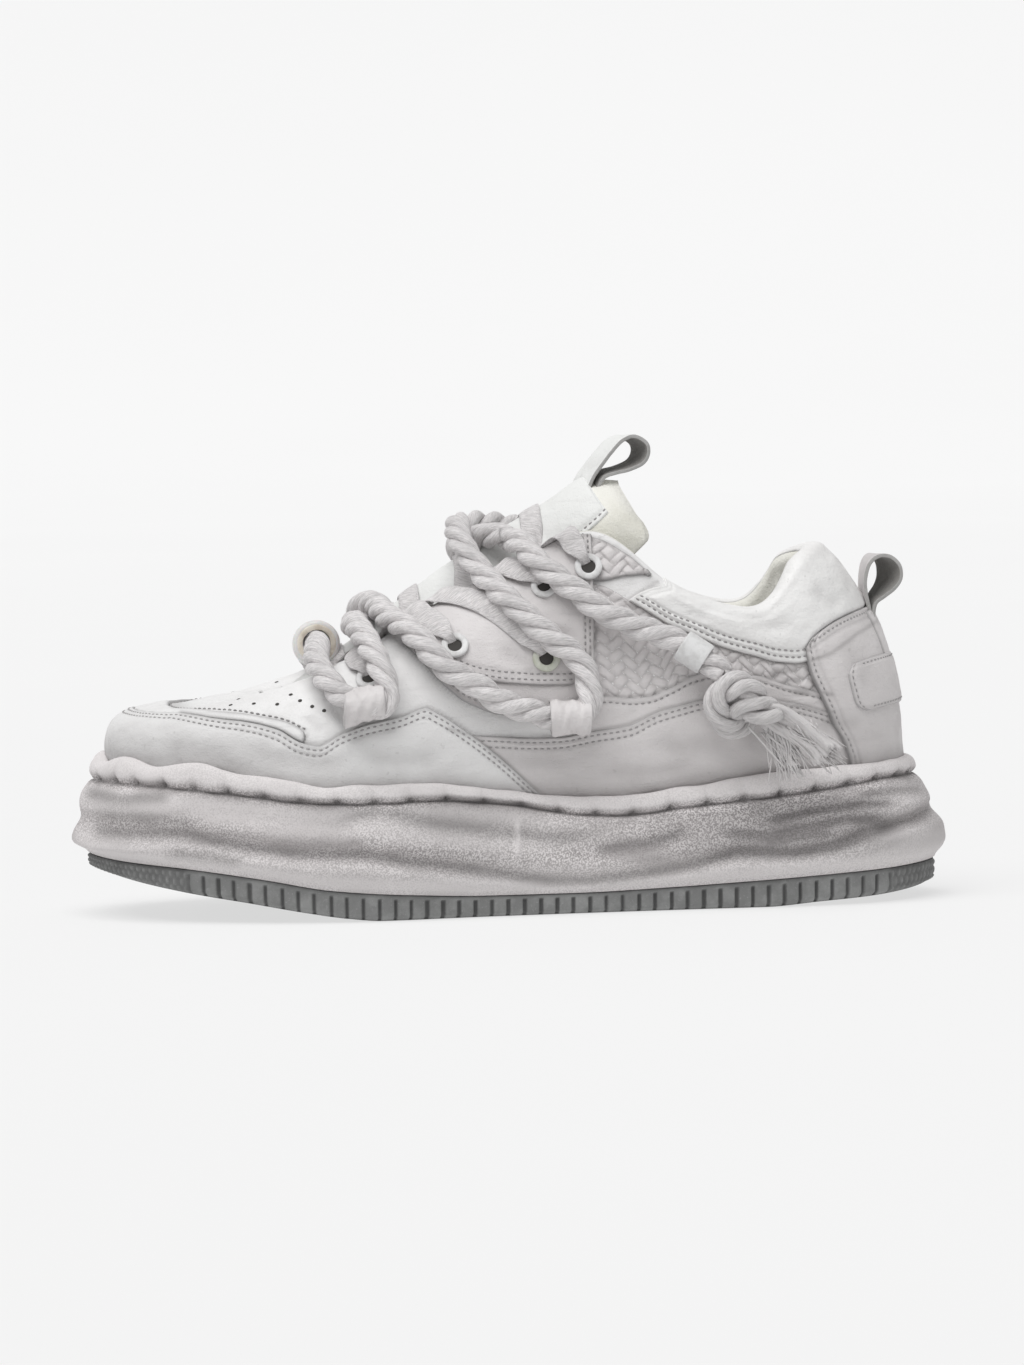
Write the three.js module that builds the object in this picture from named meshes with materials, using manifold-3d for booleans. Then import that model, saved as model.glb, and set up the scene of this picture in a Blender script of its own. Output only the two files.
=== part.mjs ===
// A worn chunky low-top sneaker for the left foot, empty and standing on its sole.
// Millimetres, +Z up. The toe points to -X, the heel to +X, the outer side faces -Y.
// The origin is on the floor under the middle of the shoe.

import * as THREE from 'three';
import { mergeVertices } from 'three/addons/utils/BufferGeometryUtils.js';
import Module from 'manifold-3d';

const wasm = await Module();
wasm.setup();

// ---- Driving dimensions ----

const WALL = 2.2; // leather and lining of the upper
const GAP = 0.3; // clearance between pieces that touch
const PANEL = 1.4; // a leather panel sewn on the upper
const LIFT = 0.75; // a panel's flat facets clear the upper's by this much
const COLLAR_PAD = 7.0; // foam added inside the collar
const INSOLE_THICK = 4.5;
const FOOTBED_DROP = 5.0; // the upper's lower edge sits this far below the roll's top
const OUTSOLE_INSET = 0.9; // the outsole wall stands back under the midsole
const AROUND = 48; // divisions round the shoe
const ROPE = 8.8; // diameter of the twisted rope lace
const FLAT_LACE = { width: 8, thick: 1.1 };

// Half stations of the last, from the heel round to the toe. Each has the offset of its
// centre line, the lower edge of the upper, the handles of the rib that climbs from it,
// and the edge of the opening. Rows are [x, half width, z].
// wider: what the inner side adds to the half width. sole: how far the parts of the sole
// stand out from the upper's lower edge, from the outsole's top to the roll's crown.
const STATIONS = [
  { centre: 1, foot: [138, 0], edge: [112, 0, 124.2], rise: [0, 0, 30], fall: [21, 0, -24],
    wider: 0, sole: [13.7, 17.5, 13.4, 11.4, 6.4, 6.6, 3.2] },
  { centre: 1, foot: [123, 27], edge: [103, 24, 119], rise: [1, 4, 30], fall: [11, 5, -23],
    wider: 0, sole: [11.2, 14.2, 12.2, 10.2, 6.2, 6.7, 3.2] },
  { centre: 0, foot: [94, 36], edge: [86, 34, 102.5], rise: [0, 4, 26], fall: [1, 5, -20],
    wider: 0, sole: [8.0, 11.5, 10.5, 9.0, 6.0, 6.8, 3.3] },
  { centre: -1, foot: [62, 37.5], edge: [59, 34, 109.5], rise: [-1, 6, 30], fall: [0, 7, -24],
    wider: -1, sole: [7.2, 10.2, 9.6, 8.3, 5.7, 6.6, 3.3] },
  { centre: -2, foot: [26, 39], edge: [28, 25, 133], rise: [-1, 7, 38], fall: [0, 12, -24],
    wider: -4, sole: [7.0, 10.0, 9.5, 8.1, 5.6, 6.5, 3.3] },
  { centre: -2, foot: [-14, 43], edge: [-7, 19, 116.5], rise: [0, 6, 38], fall: [-2, 17, -10],
    wider: -4, sole: [7.0, 10.0, 9.6, 8.2, 5.6, 6.5, 3.3] },
  { centre: -2, foot: [-57, 49], edge: [-41, 16, 100], rise: [0, 6, 30], fall: [-7, 17, -5],
    wider: 1, sole: [7.2, 10.2, 9.8, 8.5, 5.7, 6.6, 3.3] },
  { centre: 1, foot: [-103, 44], edge: [-58, 13, 90], rise: [-3, 5, 27], fall: [-24, 15, -10],
    wider: 1, sole: [7.6, 11.0, 10.8, 9.3, 6.1, 6.8, 3.3] },
  { centre: 4, foot: [-131, 27], edge: [-66, 8, 84.2], rise: [-8, 5, 30], fall: [-44, 12, -14.5],
    wider: 0, sole: [9.0, 12.6, 12.2, 10.8, 7.0, 7.2, 3.3] },
  { centre: 6, foot: [-142, 0], edge: [-70, 0, 82.6], rise: [-8, 0, 31], fall: [-50, 0, -15],
    wider: 0, sole: [10.0, 13.7, 12.6, 11.9, 8.0, 7.6, 3.3] },
];

// Heights along the shoe, as [x, z] rows from toe to heel.
const SOLE_BOTTOM = [[-153, 24], [-149, 20.6], [-137, 15.6], [-117, 10.8], [-96, 7], [-76, 3.2],
  [-62, 1], [-50, 0], [86, 0], [104, 1.2], [120, 2.3], [132, 3.6], [142, 5.8], [150, 9.8]];
const PARTING = [[-153, 25], [-138, 21.6], [-115, 19.2], [-90, 15.3], [-68, 11.2], [-40, 8.8],
  [-15, 7.6], [20, 7.4], [50, 8.2], [88, 9.9], [115, 11.5], [136, 13], [152, 15.8]];
const ROLL_GROOVE = [[-152, 48.6], [-127, 47.7], [-102, 45.4], [-75, 41.8], [-55, 41], [-35, 41.4],
  [-5, 39], [18, 35], [35, 34], [58, 36.2], [84, 38.4], [110, 41.3], [130, 43.8], [146, 43.4]];
const ROLL_TOP = [[-148, 57], [-127, 56], [-103, 54.4], [-80, 48.6], [-62, 47.6], [-36, 47.8],
  [-10, 44.6], [12, 41.6], [30, 40.8], [60, 43.6], [90, 47.5], [120, 49.2], [144, 50.4]];

// Panels of the upper, as [x, z] points of their visible edges on the outer side.
const MUDGUARD_EDGE = [[8, 41], [-8, 56], [-21, 66.5], [-29, 71.8], [-34, 73.8], [-42, 71],
  [-54, 68.6], [-63, 65.8], [-71, 61.6], [-77, 62.6], [-85, 67], [-93, 69.2], [-106, 70.6],
  [-118, 72]];
const COUNTER_EDGE = [[117, 50], [115, 56], [110.5, 65], [106.5, 74], [103, 82], [101.5, 90],
  [104, 95], [110, 98.5], [119, 101.5]];
const EYESTAY_EDGE = [[-40, 95.5], [-36.5, 92], [-31.5, 86.5], [-26, 80.5], [-19, 75], [-8, 70.5],
  [4, 68.8], [16, 71], [26, 78]];
// Eyelets from the toe up: their place, whether they stand on the eyestay, and where their
// flat lace comes over the throat's edge and lies on the tongue.
const EYELETS = [
  { at: [-52.5, 84], raised: false, edge: [-58, 91], along: 0.21 },
  { at: [-22, 93.6], raised: true, edge: [-35, 103.5], along: 0.34 },
  { at: [9.5, 89.2], raised: true, edge: [-25, 109], along: 0.45 },
  { at: [10.8, 114], raised: true, edge: [-3, 119], along: 0.53 },
  { at: [26, 120.4], raised: true, edge: [19, 129], along: 0.67 },
];

// The tongue from its hidden lower end to its top: centre [x, z], the points [x, y, z] where
// the eyestays press it and where its side ends, and its thickness.
const TONGUE = [
  { centre: [-84, 75], press: [-84, 9, 74.3], side: [-81, 17, 70.5], thick: 3 },
  { centre: [-67, 87], press: [-66, 7.5, 83], side: [-63, 18, 77], thick: 4.5 },
  { centre: [-56, 95], press: [-55, 11, 88.5], side: [-52, 23, 80], thick: 6 },
  { centre: [-39, 108.5], press: [-39, 13, 97], side: [-35, 26, 85], thick: 7 },
  { centre: [-6, 130.5], press: [-5, 15.5, 114], side: [0, 27, 98], thick: 8 },
  { centre: [14, 142], press: [15, 18.5, 124.5], side: [21, 27, 107], thick: 9 },
  { centre: [25, 149.3], press: [29, 20, 135.5], side: [38, 23, 120], thick: 12 },
  { centre: [29, 151], press: [35, 18.5, 141], side: [47, 20.5, 128], thick: 12 },
];

// The rope lace, one route in three stretches. The first runs from the inner top eyelet over
// the tongue, down and up through the outer rear keeper, back over the tongue and through
// the inner front keeper to the middle of the lowest bar. The second goes on through the
// bead, the outer front keeper, over the tongue, through the inner rear keeper and up
// again. The third is the free end.
const ROPE_FIRST = [[26, 34, 125], [12, 26.5, 131.5], [-5, 14, 135.5], [-16, 2, 136],
  [-18.5, -10, 134], [-16.5, -21, 127.5], [-10.2, -30.2, 118.3], [-2.3, -40.5, 109.8],
  [5.2, -45, 102.4], [12.2, -47.3, 96.3], [19.8, -48.8, 90.3], [23.3, -50.2, 83],
  [23.8, -51.6, 75.3], [20.6, -52.6, 69.6], [12.8, -52.7, 69.2], [3.4, -52.2, 71.7],
  [-7.6, -52.3, 75.7], [-15.8, -51.7, 81.5], [-26.1, -50, 87.6], [-32.9, -44.9, 95.3],
  [-38.8, -37.2, 101.3], [-45.5, -22.9, 105.6], [-47, -10, 108], [-49, 1, 108.8],
  [-51.5, 12, 107.4], [-52, 24, 103.4], [-50, 35, 97], [-43.7, 45.3, 87.6],
  [-41.2, 50.8, 79], [-43.6, 53.4, 73.8], [-50, 52.8, 74], [-58.5, 48.5, 79.7],
  [-65, 44, 83.4], [-69.5, 32, 89.5], [-70.5, 20, 93.3], [-69.5, 8, 95]];
const ROPE_SECOND = [[-69.5, 8, 95], [-69, -2, 95.3], [-69, -12, 94.8], [-70.3, -24, 92.6],
  [-70.5, -36, 89], [-67, -47, 83.6], [-63, -51, 79.4], [-57, -54.6, 75.6],
  [-50.6, -56, 75], [-47, -54.8, 79.4], [-49.5, -49.4, 88.5], [-53, -38.5, 96.8],
  [-55.3, -24.5, 101.2], [-56.2, -10, 102.3], [-52.5, 1, 101.6], [-48, 11, 103.5],
  [-45, 20.5, 105.8], [-38.6, 34.4, 101.2], [-32.5, 41.5, 95], [-25.6, 45.5, 87],
  [-15.3, 45.9, 80.8], [-7.3, 45.6, 75], [3.5, 45, 71.3], [12.8, 45.6, 69],
  [20.4, 45.4, 69.4], [24.6, 44.8, 74.8], [24.2, 43.9, 82.6], [21, 43.2, 89.4],
  [13.3, 42.3, 95.5], [5.3, 40.7, 101.7], [-2, 38, 109.6], [-10, 29.4, 118.6],
  [-16, 17.5, 127.2], [-15, 3, 128.8], [-8.5, -9, 132.3], [-1.5, -19, 131.8]];
const ROPE_FREE = [[-0.8, -20.2, 131.5], [3.2, -27.4, 129.2], [9, -35.9, 122.3],
  [15.9, -40.3, 116.8], [22.5, -42.9, 111.9], [28.8, -44.7, 106.5], [39.2, -45.8, 101.4],
  [49.7, -46.7, 97.5], [57, -48, 93.8], [63.7, -49.4, 89.2], [68.5, -50.5, 85.2],
  [70.6, -50.9, 82.4]];
const KNOT = { at: [75.2, -51.5, 73.2], radius: [10.2, 8, 11.5] };
const TASSEL = { from: [83, -52, 66], to: [110, -49.8, 50], radius: [4.2, 7.5] };
const BEAD = { at: [-69.1, -3, 95.2], outer: 8.6, hole: 4.8, length: 7 };
const SLEEVE = { from: [57, -48, 93.8], to: [65.2, -49.75, 88.2], hole: 4.8, outer: 5.8 };
const KEEPERS = { width: 14, hole: 4.8, outer: 6.1, tab: 1.5 };
const KEEPER_PLACES = { lateral_front: [-55.5, -55.2, 75.3], lateral_rear: [16.8, -52.8, 69],
  medial_front: [-46.5, 53.3, 73.6], medial_rear: [16.8, 45.7, 68.8] };

// The pull loops, as the strap's near edge [x, z] from end to end, and how far its other
// edge is moved in x there.
const LOOP_WIDTH = 16;
const STRAP = 1.4;
const TONGUE_LOOP = [[31, 152.4], [34.8, 157.4], [37.2, 160.4], [41.2, 164.6], [45.6, 166.3],
  [49.9, 164], [50.6, 160.4], [48.6, 157], [43.6, 154.7], [39, 153.6], [34.6, 151.9]];
const HEEL_LOOP = [[128.6, 103.2], [127.6, 108], [127.4, 113], [129, 118.6], [132.4, 121.5],
  [136.6, 121.4], [139.9, 118.4], [140.4, 114], [138.2, 110.4], [134.4, 107.4], [131, 104.6]];

// ---- Curves and the surface of the last ----

// A smooth height through rows of [x, z] that never overshoots a flat stretch.
function along(rows, x) {
  const last = rows.length - 1;
  if (x <= rows[0][0]) return rows[0][1];
  if (x >= rows[last][0]) return rows[last][1];
  const i = rows.findIndex((row) => row[0] > x) - 1;
  const secant = (k) => (rows[k + 1][1] - rows[k][1]) / (rows[k + 1][0] - rows[k][0]);
  const slope = (k) => {
    if (k === 0) return secant(0);
    if (k === last) return secant(last - 1);
    const [a, b] = [secant(k - 1), secant(k)];
    return a * b <= 0 ? 0 : (2 * a * b) / (a + b);
  };
  const span = rows[i + 1][0] - rows[i][0];
  const t = (x - rows[i][0]) / span;
  const [t2, t3] = [t * t, t * t * t];
  return (2 * t3 - 3 * t2 + 1) * rows[i][1] + (t3 - 2 * t2 + t) * span * slope(i)
    + (3 * t2 - 2 * t3) * rows[i + 1][1] + (t3 - t2) * span * slope(i + 1);
}

const smooth = THREE.MathUtils.smoothstep;
const lerp = THREE.MathUtils.lerp;
const add = (p, q, scale = 1) => p.map((value, k) => value + scale * q[k]);
const wrap = (u) => ((u % 1) + 1) % 1;

// A closed smooth curve through one value of each station, outer side first.
function ring(pick) {
  const back = STATIONS.slice(1, -1).reverse();
  const points = [...STATIONS.map((s) => pick(s, -1)), ...back.map((s) => pick(s, 1))];
  const curve = new THREE.CatmullRomCurve3(
    points.map((p) => new THREE.Vector3(...p)), true, 'catmullrom', 0.5);
  return (u) => curve.getPoint(wrap(u)).toArray();
}

const footHeight = (x) => along(ROLL_TOP, x) - FOOTBED_DROP;

function footPoint(s, side) {
  const half = s.foot[1] + (side > 0 ? s.wider : 0);
  return [s.foot[0], s.centre + side * half, footHeight(s.foot[0])];
}
const edgePoint = (s, side) => [s.edge[0], 0.6 * s.centre + side * s.edge[1], s.edge[2]];
const handle = (point, reach, side) => add(point, [reach[0], side * reach[1], reach[2]]);

const footPlan = ring(footPoint);
const footRing = (u) => {
  const [x, y] = footPlan(u);
  return [x, y, footHeight(x)];
};
const riseRing = ring((s, side) => handle(footPoint(s, side), s.rise, side));
const fallRing = ring((s, side) => handle(edgePoint(s, side), s.fall, side));
const edgeRing = ring(edgePoint);

// The last's surface: u runs round the shoe from the heel over the outer side to the toe,
// v climbs from the lower edge to the opening.
function lastPoint(u, v) {
  const [a, b, c, d] = [footRing(u), riseRing(u), fallRing(u), edgeRing(u)];
  const w = 1 - v;
  return a.map((value, k) => w ** 3 * value + 3 * w * w * v * b[k] + 3 * w * v * v * c[k]
    + v ** 3 * d[k]);
}

function lastNormal(u, v) {
  const step = 1e-3;
  const up = new THREE.Vector3(...add(lastPoint(u, v + step), lastPoint(u, v - step), -1));
  const round = new THREE.Vector3(...add(lastPoint(u + step, v), lastPoint(u - step, v), -1));
  return up.cross(round).normalize().toArray();
}

const skin = (u, v, out) => add(lastPoint(u, v), lastNormal(u, v), out);

// Where a point of the side view lies on the outer half of the last, as [u, v].
function locate(x, z) {
  let best = [0.25, 0.5];
  let nearest = Infinity;
  let [spanU, spanV] = [0.25, 0.5];
  for (let round = 0; round < 7; round += 1) {
    const [u0, v0] = best;
    for (let i = -6; i <= 6; i += 1) {
      for (let j = -6; j <= 6; j += 1) {
        const u = THREE.MathUtils.clamp(u0 + (spanU * i) / 6, 0, 0.5);
        const v = THREE.MathUtils.clamp(v0 + (spanV * j) / 6, 0, 1);
        const p = lastPoint(u, v);
        const distance = (p[0] - x) ** 2 + (p[2] - z) ** 2;
        if (distance < nearest) [nearest, best] = [distance, [u, v]];
      }
    }
    spanU /= 3;
    spanV /= 3;
  }
  return best;
}

// ---- Solids ----

function solidFrom(points, faces) {
  const geometry = new THREE.BufferGeometry();
  geometry.setAttribute('position', new THREE.Float32BufferAttribute(points.flat(), 3));
  geometry.setIndex(faces.flat());
  return geometry;
}

// A skin over rows of points: every row is a closed loop, and neighbouring rows are joined.
// With closedRows the last row joins the first, as on a ring.
function loft(rows, closedRows = false) {
  const n = rows[0].length;
  const faces = [];
  const total = closedRows ? rows.length : rows.length - 1;
  for (let r = 0; r < total; r += 1) {
    const next = ((r + 1) % rows.length) * n;
    for (let i = 0; i < n; i += 1) {
      const j = (i + 1) % n;
      faces.push([r * n + i, next + j, r * n + j], [r * n + i, next + i, next + j]);
    }
  }
  return { points: rows.flat(), faces, n };
}

// Closes a loop whose points mirror each other across the shoe with rungs from side to side.
function rungs(first, n, faceDown) {
  const faces = [];
  for (let i = 0; i < n / 2; i += 1) {
    const [a, b] = [first + i, first + i + 1];
    const [c, d] = [first + ((n - i) % n), first + n - i - 1];
    const pair = [[a, b, d], [a, d, c]].filter((f) => new Set(f).size === 3);
    faces.push(...(faceDown ? pair : pair.map(([p, q, r]) => [p, r, q])));
  }
  return faces;
}

function stackSolid(rows) {
  const { points, faces, n } = loft(rows);
  const top = (rows.length - 1) * n;
  return solidFrom(points, [...faces, ...rungs(0, n, true), ...rungs(top, n, false)]);
}

// A closed slab between two sheets: at(s, t, layer) gives a point of the lower sheet for
// layer 0 and of the upper one for layer 1, with s and t from 0 to 1.
function slab(at, across, up) {
  const points = [];
  const faces = [];
  const stride = up + 1;
  const sheet = (across + 1) * stride;
  for (const layer of [0, 1]) {
    for (let i = 0; i <= across; i += 1) {
      for (let j = 0; j <= up; j += 1) points.push(at(i / across, j / up, layer));
    }
  }
  const index = (i, j) => i * stride + j;
  const quad = (a, b, c, d) => faces.push([a, b, c], [a, c, d]);
  for (let i = 0; i < across; i += 1) {
    for (let j = 0; j < up; j += 1) {
      const [a, b, c, d] = [index(i, j), index(i, j + 1), index(i + 1, j + 1), index(i + 1, j)];
      quad(a, d, c, b);
      quad(a + sheet, b + sheet, c + sheet, d + sheet);
    }
  }
  const border = [
    ...Array.from({ length: across }, (_, i) => index(i, 0)),
    ...Array.from({ length: up }, (_, j) => index(across, j)),
    ...Array.from({ length: across }, (_, i) => index(across - i, up)),
    ...Array.from({ length: up }, (_, j) => index(0, up - j)),
  ];
  border.forEach((a, k) => {
    const b = border[(k + 1) % border.length];
    quad(a, a + sheet, b + sheet, b);
  });
  return solidFrom(points, faces);
}

// A panel that lies on the last: place(s, t) gives its [u, v].
const plate = (place, across, up, low = LIFT, grow = 0) => slab((s, t, layer) => skin(
  ...place(s, t), lerp(low - grow, low + PANEL + grow, layer)), across, up);

// A flat band along a route, with its width at each point of the route.
function ribbon(route, widths, thick, steps) {
  const path = openCurve(route);
  const width = openCurve(widths);
  const at = (s, t, layer) => {
    const along3 = path.getTangent(s);
    const across3 = width.getPoint(s);
    const normal = new THREE.Vector3().crossVectors(across3, along3).normalize();
    return path.getPoint(s).addScaledVector(across3, t - 0.5)
      .addScaledVector(normal, (layer - 0.5) * thick).toArray();
  };
  return slab(at, steps, 1);
}

const openCurve = (points) => new THREE.CatmullRomCurve3(
  points.map((p) => new THREE.Vector3(...p)), false, 'catmullrom', 0.5);

const asManifold = (geometry) => {
  const bare = geometry.clone();
  bare.deleteAttribute('normal');
  bare.deleteAttribute('uv');
  const merged = mergeVertices(bare, 1e-4);
  const mesh = new wasm.Mesh({ numProp: 3, vertProperties: merged.attributes.position.array,
    triVerts: Uint32Array.from(merged.index.array) });
  mesh.merge();
  return new wasm.Manifold(mesh);
};

// The largest piece of a cut solid, as a geometry.
function fromManifold(solid) {
  const pieces = solid.decompose().sort((a, b) => b.volume() - a.volume());
  const mesh = pieces[0].getMesh();
  const geometry = new THREE.BufferGeometry();
  geometry.setAttribute('position', new THREE.Float32BufferAttribute(mesh.vertProperties, 3));
  geometry.setIndex(Array.from(mesh.triVerts));
  return geometry;
}

const cut = (geometry, ...tools) => fromManifold(
  tools.reduce((body, tool) => body.subtract(asManifold(tool)), asManifold(geometry)));
const join = (...geometries) => fromManifold(
  geometries.slice(1).reduce((body, g) => body.add(asManifold(g)), asManifold(geometries[0])));

// ---- Sole ----

const stationOf = (k) => ring((s, side) => [s.sole[k], 0, 0]);
const soleOut = STATIONS[0].sole.map((_, k) => stationOf(k));

// A point beside the upper's lower edge, moved straight out from the outline.
function outline(u, out) {
  const step = 1e-3;
  const [p, q, r] = [footRing(u), footRing(u + step), footRing(u - step)];
  const [dx, dy] = [q[0] - r[0], q[1] - r[1]];
  const length = Math.hypot(dx, dy);
  return [p[0] - (out * dy) / length, p[1] + (out * dx) / length];
}

const loopAt = (outOf, heightOf) => Array.from({ length: AROUND }, (_, i) => {
  const u = i / AROUND;
  const [x, y] = outline(u, outOf(u));
  return [x, y, heightOf(x, u)];
});

const between = (share) => (x) => lerp(along(PARTING, x), along(ROLL_GROOVE, x), share);

function outsoleGeometry() {
  const top = (u) => soleOut[0](u)[0] - OUTSOLE_INSET;
  const rows = [
    loopAt((u) => top(u) - 2.6, (x) => along(SOLE_BOTTOM, x)),
    loopAt((u) => top(u) - 0.5, (x) => lerp(along(SOLE_BOTTOM, x), along(PARTING, x), 0.2)),
    loopAt(top, (x) => along(PARTING, x) - GAP),
  ];
  return cut(stackSolid(rows), ...treadChannels());
}

// Shallow channels across the forefoot and heel part the underside into lugs, and a
// hollow lies under the arch.
function treadChannels() {
  const places = [-108, -92, -76, -60, -44, -28, 44, 58, 72, 86, 100];
  const channels = places.map((x) => {
    const channel = new THREE.BoxGeometry(2.6, 82, 4.4);
    return channel.translate(x, -1, along(SOLE_BOTTOM, x));
  });
  const hollow = new THREE.CylinderGeometry(20, 20, 4, 20);
  hollow.rotateX(Math.PI / 2).scale(1, 1.25, 1).translate(8, -1, 0);
  return [...channels, hollow];
}

function midsoleGeometry() {
  const out = (k, extra = 0) => (u) => soleOut[k](u)[0] + extra;
  const rows = [
    loopAt(out(0, -1.2), (x) => along(PARTING, x)),
    loopAt(out(0), (x) => along(PARTING, x) + 1),
    loopAt(out(1, -0.6), between(0.13)),
    loopAt(out(1), between(0.26)),
    loopAt(out(2), between(0.52)),
    loopAt(out(3), between(0.8)),
    loopAt(out(4), (x) => along(ROLL_GROOVE, x)),
    loopAt(out(5), (x) => lerp(along(ROLL_GROOVE, x), along(ROLL_TOP, x), 0.35)),
    loopAt(out(5, -0.8), (x) => lerp(along(ROLL_GROOVE, x), along(ROLL_TOP, x), 0.8)),
    loopAt(out(6, 1.5), (x) => along(ROLL_TOP, x)),
    loopAt(out(6, 0.6), (x) => along(ROLL_TOP, x) - 1.2),
    loopAt(() => WALL + 0.7, footHeight),
    loopAt(() => WALL, (x) => footHeight(x) - GAP - 0.1),
  ];
  return stackSolid(rows);
}

function insoleGeometry() {
  const inside = -WALL - 1.2;
  const rows = [
    loopAt(() => inside - 0.6, (x) => footHeight(x)),
    loopAt(() => inside, (x) => footHeight(x) + 1),
    loopAt(() => inside, (x) => footHeight(x) + INSOLE_THICK + 1),
    loopAt(() => inside - 1.6, (x) => footHeight(x) + INSOLE_THICK + 1.4),
    loopAt(() => inside - 8, (x) => footHeight(x) + INSOLE_THICK),
  ];
  return stackSolid(rows);
}

// ---- Upper ----

const fromHeel = (u) => Math.min(wrap(u), 1 - wrap(u)) * 18; // counts stations
const padding = (u) => 1 - smooth(fromHeel(u), 3.0, 4.1);
const wallAt = (u, v) => WALL + COLLAR_PAD * padding(u) * smooth(v, 0.58, 0.86);

// One section of the upper's wall: up the outside, over the rim and down the inside.
function wallSection(u, grow) {
  const steps = 7;
  const climb = Array.from({ length: steps + 1 }, (_, i) => i / steps);
  const rim = skinFrame(u, wallAt(u, 1) + 2 * grow, grow);
  return [
    ...climb.map((v) => skin(u, v, grow)),
    ...[0.25, 0.5, 0.75].map((turn) => rim(turn * Math.PI)),
    ...climb.reverse().map((v) => skin(u, v, -wallAt(u, v) - grow)),
  ];
}

// The rounded rim over a wall of the given thickness.
function skinFrame(u, thick, outer) {
  const edge = lastPoint(u, 1);
  const normal = lastNormal(u, 1);
  const climb = add(edge, lastPoint(u, 0.98), -1);
  const length = Math.hypot(...climb);
  return (angle) => {
    const out = outer - thick / 2 + (thick / 2) * Math.cos(angle);
    const up = ((0.4 * thick) / length) * Math.sin(angle);
    return add(add(edge, normal, out), climb, up);
  };
}

function upperGeometry(grow = 0) {
  const sections = Array.from({ length: AROUND }, (_, i) => wallSection(1 - i / AROUND, grow));
  const { points, faces } = loft(sections, true);
  return solidFrom(points, faces);
}

// Height of a panel's edge on the last, for u on either side, from points of the side view.
function edgeOf(rows) {
  const found = rows.map(([x, z]) => locate(x, z)).sort((a, b) => a[0] - b[0]);
  return (u) => along(found, Math.min(wrap(u), 1 - wrap(u)));
}

function mudguardPlate(grow = 0) {
  const edge = edgeOf(MUDGUARD_EDGE);
  const start = locate(...MUDGUARD_EDGE[0])[0];
  const place = (s, t) => {
    const u = lerp(start, 1 - start, s);
    return [u, lerp(0.012, Math.max(edge(u), 0.03), t)];
  };
  return plate(place, 36, 2, LIFT, grow);
}

// The counter's front edge is given by height, so it is looked up the other way round.
function counterPlate(grow = 0) {
  const found = COUNTER_EDGE.map(([x, z]) => locate(x, z).reverse());
  const place = (s, t) => {
    const v = lerp(0.012, found.at(-1)[0], t);
    const front = along(found, v);
    return [lerp(-front, front, s), v];
  };
  return plate(place, 12, 6, LIFT, grow);
}

function patchGeometry() {
  const [[u], [, low], [, high]] = [locate(118, 78), locate(128, 70), locate(128, 85.5)];
  const place = (s, t) => [lerp(-u, u, s), lerp(low, high, t)];
  return plate(place, 8, 2, 2 * LIFT + PANEL);
}

function eyestayPlate(side, grow = 0) {
  const edge = edgeOf(EYESTAY_EDGE);
  const [first, last] = [EYESTAY_EDGE.at(-1), EYESTAY_EDGE[0]].map(([x, z]) => locate(x, z)[0]);
  const place = (s, t) => {
    const u = side < 0 ? lerp(first, last, s) : 1 - lerp(last, first, s);
    return [u, lerp(edge(u), 0.985, t)];
  };
  return plate(place, 12, 2, LIFT, grow);
}

// ---- Tongue and pull loops ----

// The tongue's front: s climbs from the hidden end, t runs from the outer to the inner side.
function tonguePoint(s, t) {
  const across = TONGUE.map(({ centre: [x, z], press: p, side: q }) => openCurve([
    [q[0], -q[1], q[2]], [p[0], -p[1], p[2]], [x, 0, z], p, q]).getPoint(t).toArray());
  return openCurve(across).getPoint(s).toArray();
}

function tongueNormal(s, t) {
  const step = 0.01;
  const inside = (value) => THREE.MathUtils.clamp(value, 0, 1);
  const up = add(tonguePoint(inside(s + step), t), tonguePoint(inside(s - step), t), -1);
  const over = add(tonguePoint(s, inside(t + step)), tonguePoint(s, inside(t - step)), -1);
  return new THREE.Vector3(...up).cross(new THREE.Vector3(...over)).normalize().toArray();
}

function tongueThickness(s, t) {
  const rows = TONGUE.map((row, i) => [i / (TONGUE.length - 1), row.thick]);
  return along(rows, s) * (1 - 0.4 * (2 * t - 1) ** 4) * (1 - 0.35 * smooth(s, 0.93, 1));
}

function tongueGeometry(...neighbours) {
  const at = (s, t, layer) => add(tonguePoint(s, t), tongueNormal(s, t),
    (layer - 1) * tongueThickness(s, t));
  return cut(slab((s, t, layer) => at(1 - s, t, layer), 12, 8), ...neighbours);
}

function pullLoopGeometry(edge, shift) {
  const widths = edge.map(([x]) => [shift(x), LOOP_WIDTH, 0]);
  const route = edge.map(([x, z], i) => [x + widths[i][0] / 2, 0, z]);
  return ribbon(route, widths, STRAP, 22);
}

// ---- Laces ----

function ropeGeometry(route, grow = 0) {
  const path = new THREE.CatmullRomCurve3(route.map((p) => new THREE.Vector3(...p)));
  const section = new THREE.Shape();
  section.absarc(0, 0, ROPE / 2 + grow, 0, 2 * Math.PI);
  const steps = route.length;
  return new THREE.ExtrudeGeometry(section,
    { extrudePath: path, steps, curveSegments: 4, bevelEnabled: false });
}

// A short tube whose axis runs through two points.
function tubeBetween(from, to, hole, outer, sides = 16) {
  const [start, end] = [new THREE.Vector3(...from), new THREE.Vector3(...to)];
  const half = start.distanceTo(end) / 2;
  const profile = [[hole, -half], [outer, -half], [outer, half], [hole, half], [hole, -half]];
  const tube = new THREE.LatheGeometry(profile.map((p) => new THREE.Vector2(...p)), sides);
  const direction = end.clone().sub(start).normalize();
  tube.applyQuaternion(new THREE.Quaternion().setFromUnitVectors(
    new THREE.Vector3(0, 1, 0), direction));
  return tube.translate(...start.add(end).multiplyScalar(0.5).toArray());
}

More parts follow.
